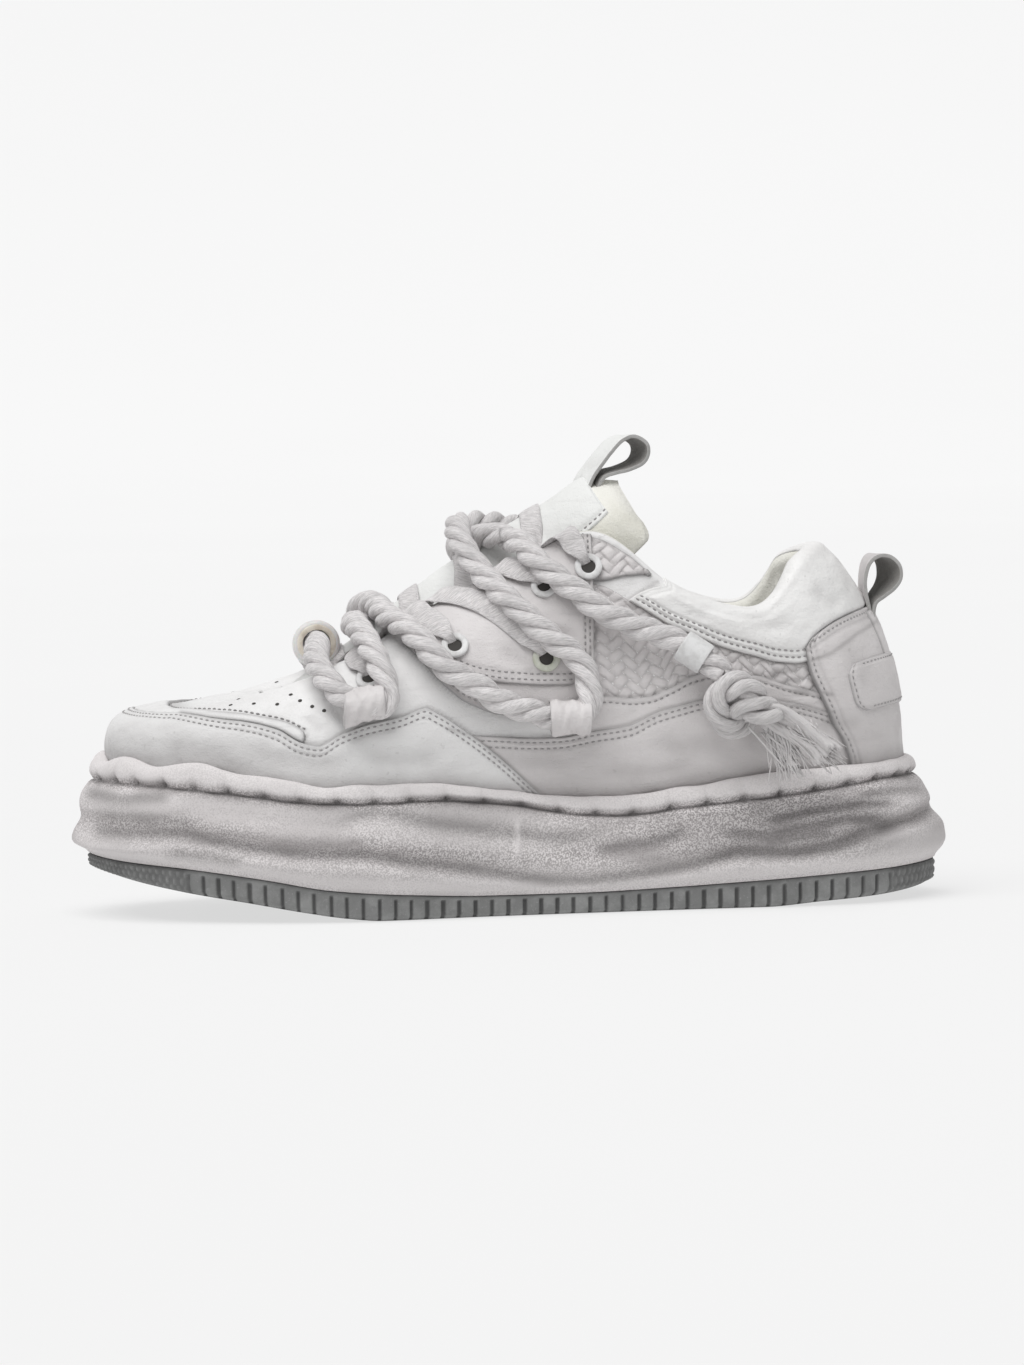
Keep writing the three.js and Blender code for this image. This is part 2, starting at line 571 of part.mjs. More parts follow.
const beadGeometry = (grow = 0) => {
  const [x, y, z] = BEAD.at;
  const half = BEAD.length / 2 + grow;
  return tubeBetween([x, y - half, z], [x, y + half, z - 0.4], BEAD.hole, BEAD.outer + grow);
};

// The normal of the last beside a point of the side view, on either side.
function normalBeside([x, y, z]) {
  const [u, v] = locate(x, z);
  return lastNormal(y < 0 ? u : 1 - u, v);
}

// A leather keeper: a band round the rope, with a tab that goes down the upper.
function keeperGeometry(place, ...neighbours) {
  const { width, hole, outer, tab } = KEEPERS;
  const outline = new THREE.Shape();
  outline.absarc(0, 0, outer, -Math.PI / 2, Math.PI);
  outline.lineTo(-outer, -outer - tab).lineTo(3 - outer, -outer - tab).lineTo(3 - outer, -5.3);
  outline.holes.push(new THREE.Path().absarc(0, 0, hole, 0, 2 * Math.PI, true));
  const band = new THREE.ExtrudeGeometry(outline,
    { depth: width, bevelEnabled: false, curveSegments: 4 });
  const normal = new THREE.Vector3(...normalBeside(place)).setX(0).normalize();
  const side = new THREE.Vector3(1, 0, 0);
  const up = new THREE.Vector3().crossVectors(side, normal).multiplyScalar(place[1] < 0 ? -1 : 1);
  band.translate(0, 0, -width / 2);
  const frame = new THREE.Matrix4().makeBasis(normal, up,
    new THREE.Vector3().crossVectors(normal, up));
  band.applyMatrix4(frame).translate(...place);
  return cut(band, ...neighbours);
}

function eyeletGeometry({ at, raised }, side, grow = 0) {
  const [u, v] = locate(...at);
  const around = side < 0 ? u : 1 - u;
  const low = LIFT + (raised ? PANEL + 0.1 : 0) - grow;
  return tubeBetween(skin(around, v, low), skin(around, v, low + 1 + 2 * grow),
    2.6 - grow, 4.9 + grow, 10);
}

// A flat lace from one eyelet over the tongue to the other.
function flatLaceGeometry({ at, edge, along: s }, grow = 0) {
  const [[u0, v0], [u1]] = [locate(...at), locate(...edge)];
  const over = LIFT + PANEL + FLAT_LACE.thick + 1.7;
  const onSide = (side, share) => {
    const u = lerp(u0, u1, share);
    return skin(side < 0 ? u : 1 - u, lerp(v0, 0.99, share), over);
  };
  const sides = (side) => [0.12, 0.55, 1].map((share) => onSide(side, share));
  const middle = [0.34, 0.5, 0.66].map((t) => add(tonguePoint(s, t), tongueNormal(s, t), 1));
  const route = [...sides(-1), ...middle, ...sides(1).reverse()];
  const climb = new THREE.Vector3(...add(tonguePoint(s + 0.03, 0.5), tonguePoint(s - 0.03, 0.5), -1));
  const width = climb.setLength(FLAT_LACE.width + 2 * grow).toArray();
  return ribbon(route, route.map(() => width), FLAT_LACE.thick + 2 * grow, 18);
}

function knotGeometry(grow = 0) {
  const ball = new THREE.SphereGeometry(1, 12, 8);
  return ball.scale(...KNOT.radius.map((r) => r + grow)).translate(...KNOT.at);
}

function tasselGeometry() {
  const [start, end] = [new THREE.Vector3(...TASSEL.from), new THREE.Vector3(...TASSEL.to)];
  const [narrow, wide] = TASSEL.radius;
  const cone = new THREE.CylinderGeometry(wide, narrow, start.distanceTo(end), 12, 2);
  cone.scale(1, 1, 0.6);
  cone.applyQuaternion(new THREE.Quaternion().setFromUnitVectors(
    new THREE.Vector3(0, 1, 0), end.clone().sub(start).normalize()));
  return cone.translate(...start.add(end).multiplyScalar(0.5).toArray());
}

// ---- Assembly ----

const shoe = new THREE.Group();

function part(name, geometry, color, roughness = 0.8) {
  const material = new THREE.MeshStandardMaterial({ color, roughness, metalness: 0 });
  const mesh = new THREE.Mesh(geometry, material);
  mesh.name = name;
  shoe.add(mesh);
}

const WHITE = 0xe4e3e1;
const DUSTY = 0xa9a2a2;
const GREY = 0x74767a;
const CREAM = 0xe3e4d6;

const SIDES = { lateral: -1, medial: 1 };
const flatLaces = EYELETS.map((eyelet) => flatLaceGeometry(eyelet));
const flatRoom = EYELETS.map((eyelet) => flatLaceGeometry(eyelet, GAP));
const ropeRoom = [ROPE_FIRST, ROPE_SECOND].map((route) => ropeGeometry(route, GAP));
const eyeletRoom = Object.values(SIDES).flatMap((side) => EYELETS.map(
  (eyelet) => eyeletGeometry(eyelet, side, GAP)));
const upperRoom = upperGeometry(GAP);
const eyestayRoom = Object.values(SIDES).map((side) => eyestayPlate(side, GAP));
const freeRoom = ropeGeometry(ROPE_FREE, GAP);

part('outsole', outsoleGeometry(), GREY, 0.9);
part('midsole', midsoleGeometry(), DUSTY, 0.9);
part('insole', insoleGeometry(), CREAM);
part('upper', upperGeometry(), WHITE, 0.55);
part('tongue', tongueGeometry(upperRoom, ...ropeRoom, ...flatRoom, beadGeometry(GAP), freeRoom),
  CREAM);
part('toe_mudguard', cut(mudguardPlate(), upperRoom), WHITE, 0.55);
part('heel_counter', cut(counterPlate(), upperRoom), WHITE, 0.55);
part('heel_patch', patchGeometry(), WHITE, 0.5);
part('tongue_loop', pullLoopGeometry(TONGUE_LOOP, () => -4.5), WHITE, 0.7);
part('heel_loop', cut(pullLoopGeometry(HEEL_LOOP, (x) => -0.5 * (x - 127.4)),
  upperRoom, counterPlate(GAP)), GREY, 0.7);
for (const [name, side] of Object.entries(SIDES)) {
  part(`eyestay_${name}`, cut(eyestayPlate(side), upperRoom), WHITE, 0.55);
  EYELETS.forEach((eyelet, i) => {
    part(`eyelet_${name}_${i + 1}`, eyeletGeometry(eyelet, side), WHITE, 0.4);
  });
}
for (const [name, place] of Object.entries(KEEPER_PLACES)) {
  part(`lace_keeper_${name}`, keeperGeometry(place, upperRoom, mudguardPlate(GAP), ...ropeRoom),
    WHITE, 0.6);
}
flatLaces.forEach((lace, i) => part(`flat_lace_${i + 1}`, cut(lace, beadGeometry(GAP)), WHITE, 0.9));
part('lace_bars', cut(join(ropeGeometry(ROPE_FIRST), ropeGeometry(ROPE_SECOND)),
  ...flatRoom, ...eyeletRoom, ...eyestayRoom, beadGeometry(0.05)), WHITE, 0.95);
part('lace_bead', beadGeometry(), CREAM, 0.25);
part('lace_end', cut(ropeGeometry(ROPE_FREE), knotGeometry(GAP), ...flatRoom, ...eyeletRoom),
  WHITE, 0.95);
part('lace_sleeve', tubeBetween(SLEEVE.from, SLEEVE.to, SLEEVE.hole, SLEEVE.outer), WHITE, 0.5);
part('lace_knot', knotGeometry(), WHITE, 0.95);
part('lace_tassel', cut(tasselGeometry(), knotGeometry(GAP)), WHITE, 0.95);

export default shoe;
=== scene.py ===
# %% [markdown]
# # A worn chunky sneaker
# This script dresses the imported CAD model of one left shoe. The CAD solids give every
# piece its place and its outer size. The script makes the leather, foam, rubber and rope
# that the eye sees, with their seams, folds and dirt. The toe points to -X, the outer
# side faces -Y, and the shoe stands on the floor at z = 0. Sizes below are millimetres.

# %% Load the frame
import math
import bpy
import numpy as np
from mathutils import Matrix


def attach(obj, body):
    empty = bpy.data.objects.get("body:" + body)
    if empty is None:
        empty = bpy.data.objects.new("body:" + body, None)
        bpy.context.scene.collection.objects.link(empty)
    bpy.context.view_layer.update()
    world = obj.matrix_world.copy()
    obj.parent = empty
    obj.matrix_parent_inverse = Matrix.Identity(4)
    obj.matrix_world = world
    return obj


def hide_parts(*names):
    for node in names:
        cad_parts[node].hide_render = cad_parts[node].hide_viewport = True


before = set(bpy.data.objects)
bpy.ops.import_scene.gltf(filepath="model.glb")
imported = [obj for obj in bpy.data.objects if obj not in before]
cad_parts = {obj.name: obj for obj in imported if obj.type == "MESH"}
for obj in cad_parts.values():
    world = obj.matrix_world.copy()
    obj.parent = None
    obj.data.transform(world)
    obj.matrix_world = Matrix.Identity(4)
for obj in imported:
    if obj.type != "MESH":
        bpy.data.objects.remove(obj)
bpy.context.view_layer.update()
MM = 0.001

# %% [markdown]
# ## The camera
# A shoe is usually shown from its outer side with a long lens, so that toe and heel keep
# their true sizes. The camera stands far away, a few degrees above the floor, is turned
# slightly towards the toe, and is rolled a little. It is aimed at the middle of the shoe.

# %% Camera
AIM = np.array([0.7, 0.0, 79.3])
AZIMUTH = math.radians(-4.5)
ELEVATION = math.radians(3.2)
ROLL = math.radians(-1.2)
DISTANCE = 2500.0
FRAME_WIDTH = 365.6  # how much of the shoe's plane the picture's width takes in
FRAME_ASPECT = 1365 / 1024


def camera_axes():
    """The camera's right, up and backward directions."""
    back = np.array([math.sin(AZIMUTH) * math.cos(ELEVATION), -math.cos(AZIMUTH) * math.cos(ELEVATION),
                     math.sin(ELEVATION)])
    level = np.array([math.cos(AZIMUTH), math.sin(AZIMUTH), 0.0])
    upright = np.cross(back, level)
    right = level * math.cos(ROLL) + upright * math.sin(ROLL)
    return right, np.cross(back, right), back


def standing(place, right, up, back):
    """The matrix of an object at a place, from the directions of its three axes."""
    rows = [[*directions, spot] for directions, spot in zip(zip(right, up, back), place)]
    return Matrix(rows + [[0, 0, 0, 1]])


def make_camera():
    data = bpy.data.cameras.new("camera")
    data.sensor_width = 36
    data.lens = data.sensor_width * DISTANCE / (FRAME_WIDTH * FRAME_ASPECT)
    data.clip_end = 60
    camera = bpy.data.objects.new("camera", data)
    bpy.context.collection.objects.link(camera)
    right, up, back = camera_axes()
    camera.matrix_world = standing((AIM + back * DISTANCE) * MM, right, up, back)
    bpy.context.scene.camera = camera
    return camera


print("camera lens", round(make_camera().data.lens, 1))

# %% [markdown]
# ## The last
# The upper is a skin stretched over a last, the foot-shaped form that shoes are built on.
# Modelling it by pushing points about would never match the CAD solid, so the script
# repeats the CAD's own function. Ten half stations run from the heel to the toe. Each has
# a rib, a cubic curve from the lower edge of the upper to the edge of its opening, and
# smooth closed curves run round the shoe through the ends and handles of the ribs.

# %% The last's tables
# Rows are [x, half width, z]: centre line, lower edge, edge of the opening, the handles
# of the rib, what the inner side adds, and how far the sole's layers stand out.
STATIONS = [
    (1, (138, 0), (112, 0, 124.2), (0, 0, 30), (21, 0, -24), 0, (13.7, 17.5, 13.4, 11.4, 6.4, 6.6, 3.2)),
    (1, (123, 27), (103, 24, 119), (1, 4, 30), (11, 5, -23), 0, (11.2, 14.2, 12.2, 10.2, 6.2, 6.7, 3.2)),
    (0, (94, 36), (86, 34, 102.5), (0, 4, 26), (1, 5, -20), 0, (8.0, 11.5, 10.5, 9.0, 6.0, 6.8, 3.3)),
    (-1, (62, 37.5), (59, 34, 109.5), (-1, 6, 30), (0, 7, -24), -1, (7.2, 10.2, 9.6, 8.3, 5.7, 6.6, 3.3)),
    (-2, (26, 39), (28, 25, 133), (-1, 7, 38), (0, 12, -24), -4, (7.0, 10.0, 9.5, 8.1, 5.6, 6.5, 3.3)),
    (-2, (-14, 43), (-7, 19, 116.5), (0, 6, 38), (-2, 17, -10), -4, (7.0, 10.0, 9.6, 8.2, 5.6, 6.5, 3.3)),
    (-2, (-57, 49), (-41, 16, 100), (0, 6, 30), (-7, 17, -5), 1, (7.2, 10.2, 9.8, 8.5, 5.7, 6.6, 3.3)),
    (1, (-103, 44), (-58, 13, 90), (-3, 5, 27), (-24, 15, -10), 1, (7.6, 11.0, 10.8, 9.3, 6.1, 6.8, 3.3)),
    (4, (-131, 27), (-66, 8, 84.2), (-8, 5, 30), (-44, 12, -14.5), 0, (9.0, 12.6, 12.2, 10.8, 7.0, 7.2, 3.3)),
    (6, (-142, 0), (-70, 0, 82.6), (-8, 0, 31), (-50, 0, -15), 0, (10.0, 13.7, 12.6, 11.9, 8.0, 7.6, 3.3)),
]
SOLE_BOTTOM = [(-153, 24), (-149, 20.6), (-137, 15.6), (-117, 10.8), (-96, 7), (-76, 3.2), (-62, 1),
               (-50, 0), (86, 0), (104, 1.2), (120, 2.3), (132, 3.6), (142, 5.8), (150, 9.8)]
PARTING = [(-153, 25), (-138, 21.6), (-115, 19.2), (-90, 15.3), (-68, 11.2), (-40, 8.8), (-15, 7.6),
           (20, 7.4), (50, 8.2), (88, 9.9), (115, 11.5), (136, 13), (152, 15.8)]
ROLL_GROOVE = [(-152, 48.6), (-127, 47.7), (-102, 45.4), (-75, 41.8), (-55, 41), (-35, 41.4), (-5, 39),
               (18, 35), (35, 34), (58, 36.2), (84, 38.4), (110, 41.3), (130, 43.8), (146, 43.4)]
ROLL_TOP = [(-148, 57), (-127, 56), (-103, 54.4), (-80, 48.6), (-62, 47.6), (-36, 47.8), (-10, 44.6),
            (12, 41.6), (30, 40.8), (60, 43.6), (90, 47.5), (120, 49.2), (144, 50.4)]
FOOTBED_DROP = 5.0
WALL = 2.2
COLLAR_PAD = 7.0

# %% Smooth curves
def along(rows, x):
    """A smooth height through rows of (x, z) that never overshoots a flat stretch."""
    rows = np.asarray(rows, float)
    xs, zs = rows[:, 0], rows[:, 1]
    secant = np.diff(zs) / np.diff(xs)
    slope = np.concatenate([secant[:1], np.zeros(len(xs) - 2), secant[-1:]])
    a, b = secant[:-1], secant[1:]
    bends = a * b > 0
    slope[1:-1][bends] = 2 * a[bends] * b[bends] / (a + b)[bends]
    i = np.clip(np.searchsorted(xs, x, side="right") - 1, 0, len(xs) - 2)
    span = xs[i + 1] - xs[i]
    t = np.clip((x - xs[i]) / span, 0, 1)
    return ((2 * t**3 - 3 * t**2 + 1) * zs[i] + (t**3 - 2 * t**2 + t) * span * slope[i]
            + (3 * t**2 - 2 * t**3) * zs[i + 1] + (t**3 - t**2) * span * slope[i + 1])


def between(p, q, r, s, f):
    """The Catmull-Rom curve from q (f is 0) to r (f is 1), with neighbours p and s."""
    return 0.5 * (2 * q + (r - p) * f + (2 * p - 5 * q + 4 * r - s) * f**2 + (3 * q - p - 3 * r + s) * f**3)


def spline(points, t, closed=False):
    """Points of a Catmull-Rom curve through the given points, for t from 0 to 1."""
    points = np.asarray(points, float)
    count = len(points) if closed else len(points) - 1
    place = np.asarray(t, float) % 1 * count if closed else np.clip(t, 0, 1) * count
    i = np.minimum(np.floor(place).astype(int), count - 1)
    f = (place - i)[..., None]
    if closed:
        p, q, r, s = (points[(i + k) % count] for k in (-1, 0, 1, 2))
    else:
        ends = np.vstack([2 * points[0] - points[1], points, 2 * points[-1] - points[-2]])
        p, q, r, s = (ends[i + k] for k in range(4))
    return between(p, q, r, s, f)


def spline_each(rows, t, knots=None):
    """A curve of its own for each sample: rows has the shape (points, samples, values)."""
    knots = np.linspace(0, 1, len(rows)) if knots is None else knots
    ends = np.concatenate([2 * rows[:1] - rows[1:2], rows, 2 * rows[-1:] - rows[-2:-1]])
    i = np.clip(np.searchsorted(knots, t, side="right") - 1, 0, len(rows) - 2)
    f = np.clip((t - knots[i]) / (knots[i + 1] - knots[i]), 0, 1)[:, None]
    return between(*(ends[i + k, np.arange(len(t))] for k in range(4)), f)


def smooth(value, low, high):
    t = np.clip((np.asarray(value, float) - low) / (high - low), 0, 1)
    return t * t * (3 - 2 * t)


def lerp(a, b, t):
    return a + (b - a) * t


def squared(wave, power):
    """A wave made squarer (a power below 1) with its sign kept."""
    return np.sign(wave) * np.abs(wave) ** power


def unit(vectors):
    return vectors / np.maximum(np.linalg.norm(vectors, axis=-1, keepdims=True), 1e-9)


# %% The last's surface
def foot_height(x):
    return along(ROLL_TOP, x) - FOOTBED_DROP


def foot_point(station, side):
    centre, (x, half), _, _, _, wider, _ = station
    return [x, centre + side * (half + (wider if side > 0 else 0)), float(foot_height(x))]


def edge_point(station, side):
    centre, _, (x, half, z) = station[:3]
    return [x, 0.6 * centre + side * half, z]


def moved(point, reach, side):
    return [point[0] + reach[0], point[1] + side * reach[1], point[2] + reach[2]]


def ring(pick):
    return np.array([pick(s, -1) for s in STATIONS] + [pick(s, 1) for s in STATIONS[-2:0:-1]], float)


FOOT_RING = ring(foot_point)
RISE_RING = ring(lambda s, side: moved(foot_point(s, side), s[3], side))
FALL_RING = ring(lambda s, side: moved(edge_point(s, side), s[4], side))
EDGE_RING = ring(edge_point)
SOLE_RINGS = [ring(lambda s, side, k=k: [s[6][k]]) for k in range(7)]


def foot_ring(u):
    points = spline(FOOT_RING, u, closed=True)
    points[..., 2] = foot_height(points[..., 0])
    return points


def last_point(u, v):
    """The last: u runs from the heel over the outer side to the toe and back, v climbs."""
    u, v = np.broadcast_arrays(np.asarray(u, float), np.asarray(v, float))
    v = v[..., None]
    w = 1 - v
    return (w**3 * foot_ring(u) + 3 * w * w * v * spline(RISE_RING, u, closed=True)
            + 3 * w * v * v * spline(FALL_RING, u, closed=True) + v**3 * spline(EDGE_RING, u, closed=True))


def last_normal(u, v):
    step = 1e-3
    up = last_point(u, np.add(v, step)) - last_point(u, np.subtract(v, step))
    around = last_point(np.add(u, step), v) - last_point(np.subtract(u, step), v)
    return unit(np.cross(up, around))


def skin(u, v, out):
    return last_point(u, v) + last_normal(u, v) * np.asarray(out, float)[..., None]


TABLE_U, TABLE_V = np.meshgrid(np.linspace(0, 0.5, 701), np.linspace(0, 1, 301), indexing="ij")
TABLE = last_point(TABLE_U, TABLE_V)


def locate(x, z):
    """Where a point of the side view lies on the outer half of the last, as (u, v)."""
    nearest = np.argmin((TABLE[..., 0] - x) ** 2 + (TABLE[..., 2] - z) ** 2)
    return TABLE_U.flat[nearest], TABLE_V.flat[nearest]


def locate_all(points):
    return np.array([locate(x, z) for x, z in points])


def mirrored(u, side):
    """The same place on the outer side (-1) or the inner side (+1)."""
    return u if side < 0 else 1 - u


print("last", TABLE.min((0, 1)).round(1), TABLE.max((0, 1)).round(1))

# %% [markdown]
# ## Grids that follow a function
# Most pieces of a shoe are flat sheets of leather or cloth pulled over the last. A grid
# primitive is the same thing: its corners are moved to where a function says. The helper
# below does that, joins the ends of closed bands, points the faces outwards and keeps two
# painted attributes: one that darkens dirt and painted shade in low, tucked and shaded
# places, and `edge` for cut edges, whose dark line is partly painted shade.

# %% Making meshes
def deselect():
    if bpy.context.object and bpy.context.object.mode != "OBJECT":
        bpy.ops.object.mode_set(mode="OBJECT")
    bpy.ops.object.select_all(action="DESELECT")


def activate(piece):
    deselect()
    piece.select_set(True)
    bpy.context.view_layer.objects.active = piece


def apply_modifier(piece, kind, **settings):
    activate(piece)
    modifier = piece.modifiers.new(kind.title(), kind)
    for key, value in settings.items():
        setattr(modifier, key, value)
    bpy.ops.object.modifier_apply(modifier=modifier.name)


def paint(piece, name, values):
    layer = piece.data.attributes.get(name) or piece.data.attributes.new(name, "FLOAT", "POINT")
    layer.data.foreach_set("value", np.asarray(values, np.float32).ravel())


def finish_mesh(piece, material, merge=True, outward=True):
    """Closes seams, turns the faces outwards and gives the piece its material."""
    activate(piece)
    bpy.ops.object.mode_set(mode="EDIT")
    bpy.ops.mesh.select_all(action="SELECT")
    if merge:
        bpy.ops.mesh.remove_doubles(threshold=0.01 * MM)
    if outward:
        bpy.ops.mesh.normals_make_consistent(inside=False)
    bpy.ops.object.mode_set(mode="OBJECT")
    bpy.ops.object.shade_smooth()
    piece.data.materials.clear()
    piece.data.materials.append(material)
    return piece


def settle(piece, slot, *nodes):
    """Says which body the piece rides on and which CAD nodes it stands for. The slot argument is not used."""
    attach(piece, "root")
    if nodes:
        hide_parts(*nodes)
    triangles = sum(len(face.vertices) - 2 for face in piece.data.polygons)
    print(f"{piece.name}: {triangles} triangles")
    return piece


def grid(name, columns, rows):
    """A grid primitive, and the place of each of its corners from 0 to 1 both ways."""
    deselect()
    bpy.ops.mesh.primitive_grid_add(x_subdivisions=columns, y_subdivisions=rows, size=1)
    piece = bpy.context.object
    piece.name = piece.data.name = name
    flat = np.empty(len(piece.data.vertices) * 3)
    piece.data.vertices.foreach_get("co", flat)
    s, t = flat.reshape(-1, 3)[:, 0] + 0.5, flat.reshape(-1, 3)[:, 1] + 0.5
    return piece, s, t


def place_corners(piece, points):
    piece.data.vertices.foreach_set("co", (np.asarray(points) * MM).ravel())
    piece.data.update()


def band(name, columns, rows, points_at, material, uv=None, **masks):
    """A sheet, or a closed band or tube where its ends meet."""
    piece, s, t = grid(name, columns, rows)
    place_corners(piece, points_at(s, t))
    for mask, values_at in masks.items():
        paint(piece, mask, values_at(s, t))
    if uv:
        scale_uv(piece, *uv)
    return finish_mesh(piece, material)


def scale_uv(piece, width, height):
    """Stretches the UV map to millimetres, so that a weave keeps its size."""
    layer = piece.data.uv_layers.active.data
    flat = np.empty(len(layer) * 2)
    layer.foreach_get("uv", flat)
    flat = flat.reshape(-1, 2) * (width, height)
    layer.foreach_set("uv", flat.ravel())


def joined(name, meshes, material):
    """Joins copies of simple meshes, given as (points, faces), into one object."""
    points, faces, start = [], [], 0
    for corners, polygons in meshes:
        points.append(np.asarray(corners) * MM)
        faces.extend([tuple(int(i) + start for i in polygon) for polygon in polygons])
        start += len(corners)
    data = bpy.data.meshes.new(name)
    data.from_pydata(np.concatenate(points).tolist(), [], faces)
    piece = bpy.data.objects.new(name, data)
    bpy.context.collection.objects.link(piece)
    return finish_mesh(piece, material, merge=False, outward=False)


# %% [markdown]
# ## Folds one by one
# Worn leather and foam don't crumple evenly. They fold where the foot bends them, and the
# same folds come back at every step. Each fold here is a short line on the side view of
# the shoe, with a width and a depth. The surface sinks along it and rises a little beside
# it, and the sunk part collects dirt. Noise alone would give a texture without a story.

# %% Troughs and ridges
def distance_to_line(x, z, line):
    """The distance from points to a polyline, and how far along it they lie, 0 to 1."""
    line = np.asarray(line, float)
    lengths = np.linalg.norm(np.diff(line, axis=0), axis=1)
    starts = np.concatenate([[0], np.cumsum(lengths)])
    best = np.full(np.shape(x), 1e9)
    share = np.zeros(np.shape(x))
    for (ax, az), (bx, bz), start, length in zip(line[:-1], line[1:], starts, lengths):
        t = np.clip(((x - ax) * (bx - ax) + (z - az) * (bz - az)) / length**2, 0, 1)
        d = np.hypot(x - ax - t * (bx - ax), z - az - t * (bz - az))
        nearer = d < best
        best = np.where(nearer, d, best)
        share = np.where(nearer, (start + t * length) / starts[-1], share)
    return best, share


def folds(x, z, lines):
    """Height and dirt left by folds, each (points, half width, depth, taper)."""
    height = np.zeros(np.shape(x))
    dirt = np.zeros(np.shape(x))
    for line, width, depth, taper in lines:
        d, share = distance_to_line(x, z, line)
        fade = smooth(share, -1e-6, taper) * smooth(1 - share, -1e-6, taper)
        trough = np.exp(-((d / width) ** 2)) * fade
        height += 0.4 * depth * np.exp(-(((d - 2.2 * width) / (1.1 * width)) ** 2)) * fade - depth * trough
        dirt += trough * min(1.0, depth)
    return height, np.clip(dirt, 0, 1)


def ripple(x, y, z, size, seed):
    """A soft, repeatable unevenness between -1 and 1, from a few turned waves."""
    angles = np.random.default_rng(seed).uniform(0, 2 * math.pi, (7, 4))
    total = 0
    for k, (a, b, c, _) in enumerate(angles):
        reach = 2 * math.pi / (size * (0.7 + 0.16 * k))
        total = total + np.sin(reach * (x * math.cos(a) + z * math.sin(a) + y * math.cos(b)) + c)
    return total / 4.2


# %% Folds of the upper, as points of the side view
OUTER_FOLDS = [
    ([(87, 79), (92, 82), (101, 83)], 1.3, 0.7, 0.25),
    ([(89, 83), (94, 79.5), (102, 79)], 1.2, 0.6, 0.25),
    ([(96, 75), (104, 74)], 1.2, 0.5, 0.3),
    ([(-16, 57), (2, 54), (20, 55)], 3.0, 0.5, 0.3),
    ([(44, 60), (58, 57), (76, 60)], 3.4, 0.6, 0.3),
    ([(76, 66), (90, 58), (101, 57)], 2.6, 0.7, 0.3),
    ([(20, 50), (40, 48.5), (66, 51)], 2.2, 0.45, 0.3),
    ([(-60, 59), (-44, 56), (-26, 57)], 3.2, 0.7, 0.3),
    ([(-100, 62), (-86, 57), (-70, 55), (-56, 55)], 3.4, 0.7, 0.3),
    ([(-128, 62), (-112, 60), (-98, 60)], 3.0, 0.5, 0.3),
    ([(-68, 76), (-62, 70), (-61, 66)], 1.6, 0.8, 0.2),
    ([(-63, 79), (-57, 73), (-55, 68)], 1.5, 0.8, 0.2),
    ([(-75, 72), (-70, 66)], 1.4, 0.6, 0.2),
    ([(-58, 82), (-51, 77), (-48, 72)], 1.3, 0.6, 0.2),
    ([(112, 92), (120, 84), (124, 72)], 3.2, 0.4, 0.3),
    ([(104, 62), (112, 64), (122, 63)], 2.4, 0.5, 0.3),
    ([(52, 112), (60, 105), (70, 100)], 2.2, 0.5, 0.3),
    ([(78, 101), (90, 98), (100, 99)], 2.6, 0.6, 0.3),
    ([(104, 112), (110, 106), (116, 104)], 2.4, 0.7, 0.3),
    ([(-10, 94), (2, 88), (10, 80)], 2.4, 0.5, 0.3),
    ([(0, 104), (10, 99), (22, 96)], 1.8, 0.6, 0.3),
]
INNER_FOLDS = [
    ([(-14, 57), (6, 53), (26, 56)], 3.0, 0.6, 0.3),
    ([(40, 62), (58, 58), (74, 61)], 3.0, 0.7, 0.3),
    ([(70, 78), (84, 84), (98, 80)], 1.8, 0.7, 0.3),
    ([(74, 71), (88, 66), (100, 68)], 2.2, 0.7, 0.3),
    ([(-66, 78), (-61, 71), (-59, 66)], 1.7, 0.9, 0.2),
    ([(-59, 81), (-53, 74), (-51, 68)], 1.5, 0.9, 0.2),
    ([(-100, 63), (-84, 58), (-66, 55)], 3.4, 0.6, 0.3),
    ([(-52, 60), (-36, 56), (-22, 58)], 3.0, 0.6, 0.3),
    ([(108, 92), (116, 84), (121, 72)], 3.0, 0.5, 0.3),
    ([(52, 112), (62, 104), (74, 100)], 2.2, 0.6, 0.3),
    ([(-8, 96), (4, 90), (12, 82)], 2.4, 0.6, 0.3),
]


# %% Edges of the panels, as points of the side view
MUDGUARD_EDGE = [(8, 41), (-8, 56), (-21, 66.5), (-29, 71.8), (-34, 73.8), (-42, 71), (-54, 68.6),
                 (-63, 65.8), (-71, 61.6), (-77, 62.6), (-85, 67), (-93, 69.2), (-106, 70.6), (-118, 72)]
COUNTER_EDGE = [(117, 50), (115, 56), (110.5, 65), (106.5, 74), (103, 82), (101.5, 90), (104, 95),
                (110, 98.5), (119, 101.5)]
EYESTAY_EDGE = [(-40, 95.5), (-36.5, 92), (-31.5, 86.5), (-26, 80.5), (-19, 75), (-8, 70.5), (4, 68.8),
                (16, 71), (26, 78)]
FACING_EDGE = [(-33, 92), (-26, 87.5), (-14, 82.5), (-3, 80.5), (8, 79.8), (17, 80), (26, 84)]
QUARTER_EDGE = [(-26, 66), (-18, 64), (-3, 62.8), (13, 62.5), (25, 64), (38, 66), (50, 71),
                (67, 74.5), (80, 75), (96, 72), (110, 68)]
POCKET_EDGE = [(24, 75), (30, 76.5), (38, 75.5), (46, 76), (54, 79), (61, 82.5), (72, 84), (84, 82),
               (96, 78), (110, 74)]
COLLAR_EDGE = [(39, 109), (51, 102), (61, 97), (72, 92), (82, 89), (93, 86), (101, 85.5), (110, 88),
               (120, 94), (128, 97)]
COLLAR_FRONT = (55, 117)
STRIP_TOP = [(22, 131.5), (27, 131.5), (36, 128), (42, 123.5), (47, 119)]
STRIP_LOW = [(20, 115.5), (29, 116), (40, 117.5), (48, 118)]
TOE_LINE = [(-121, 74), (-111, 73.4), (-93, 72), (-83, 70), (-76, 66.5), (-75.5, 63.5)]
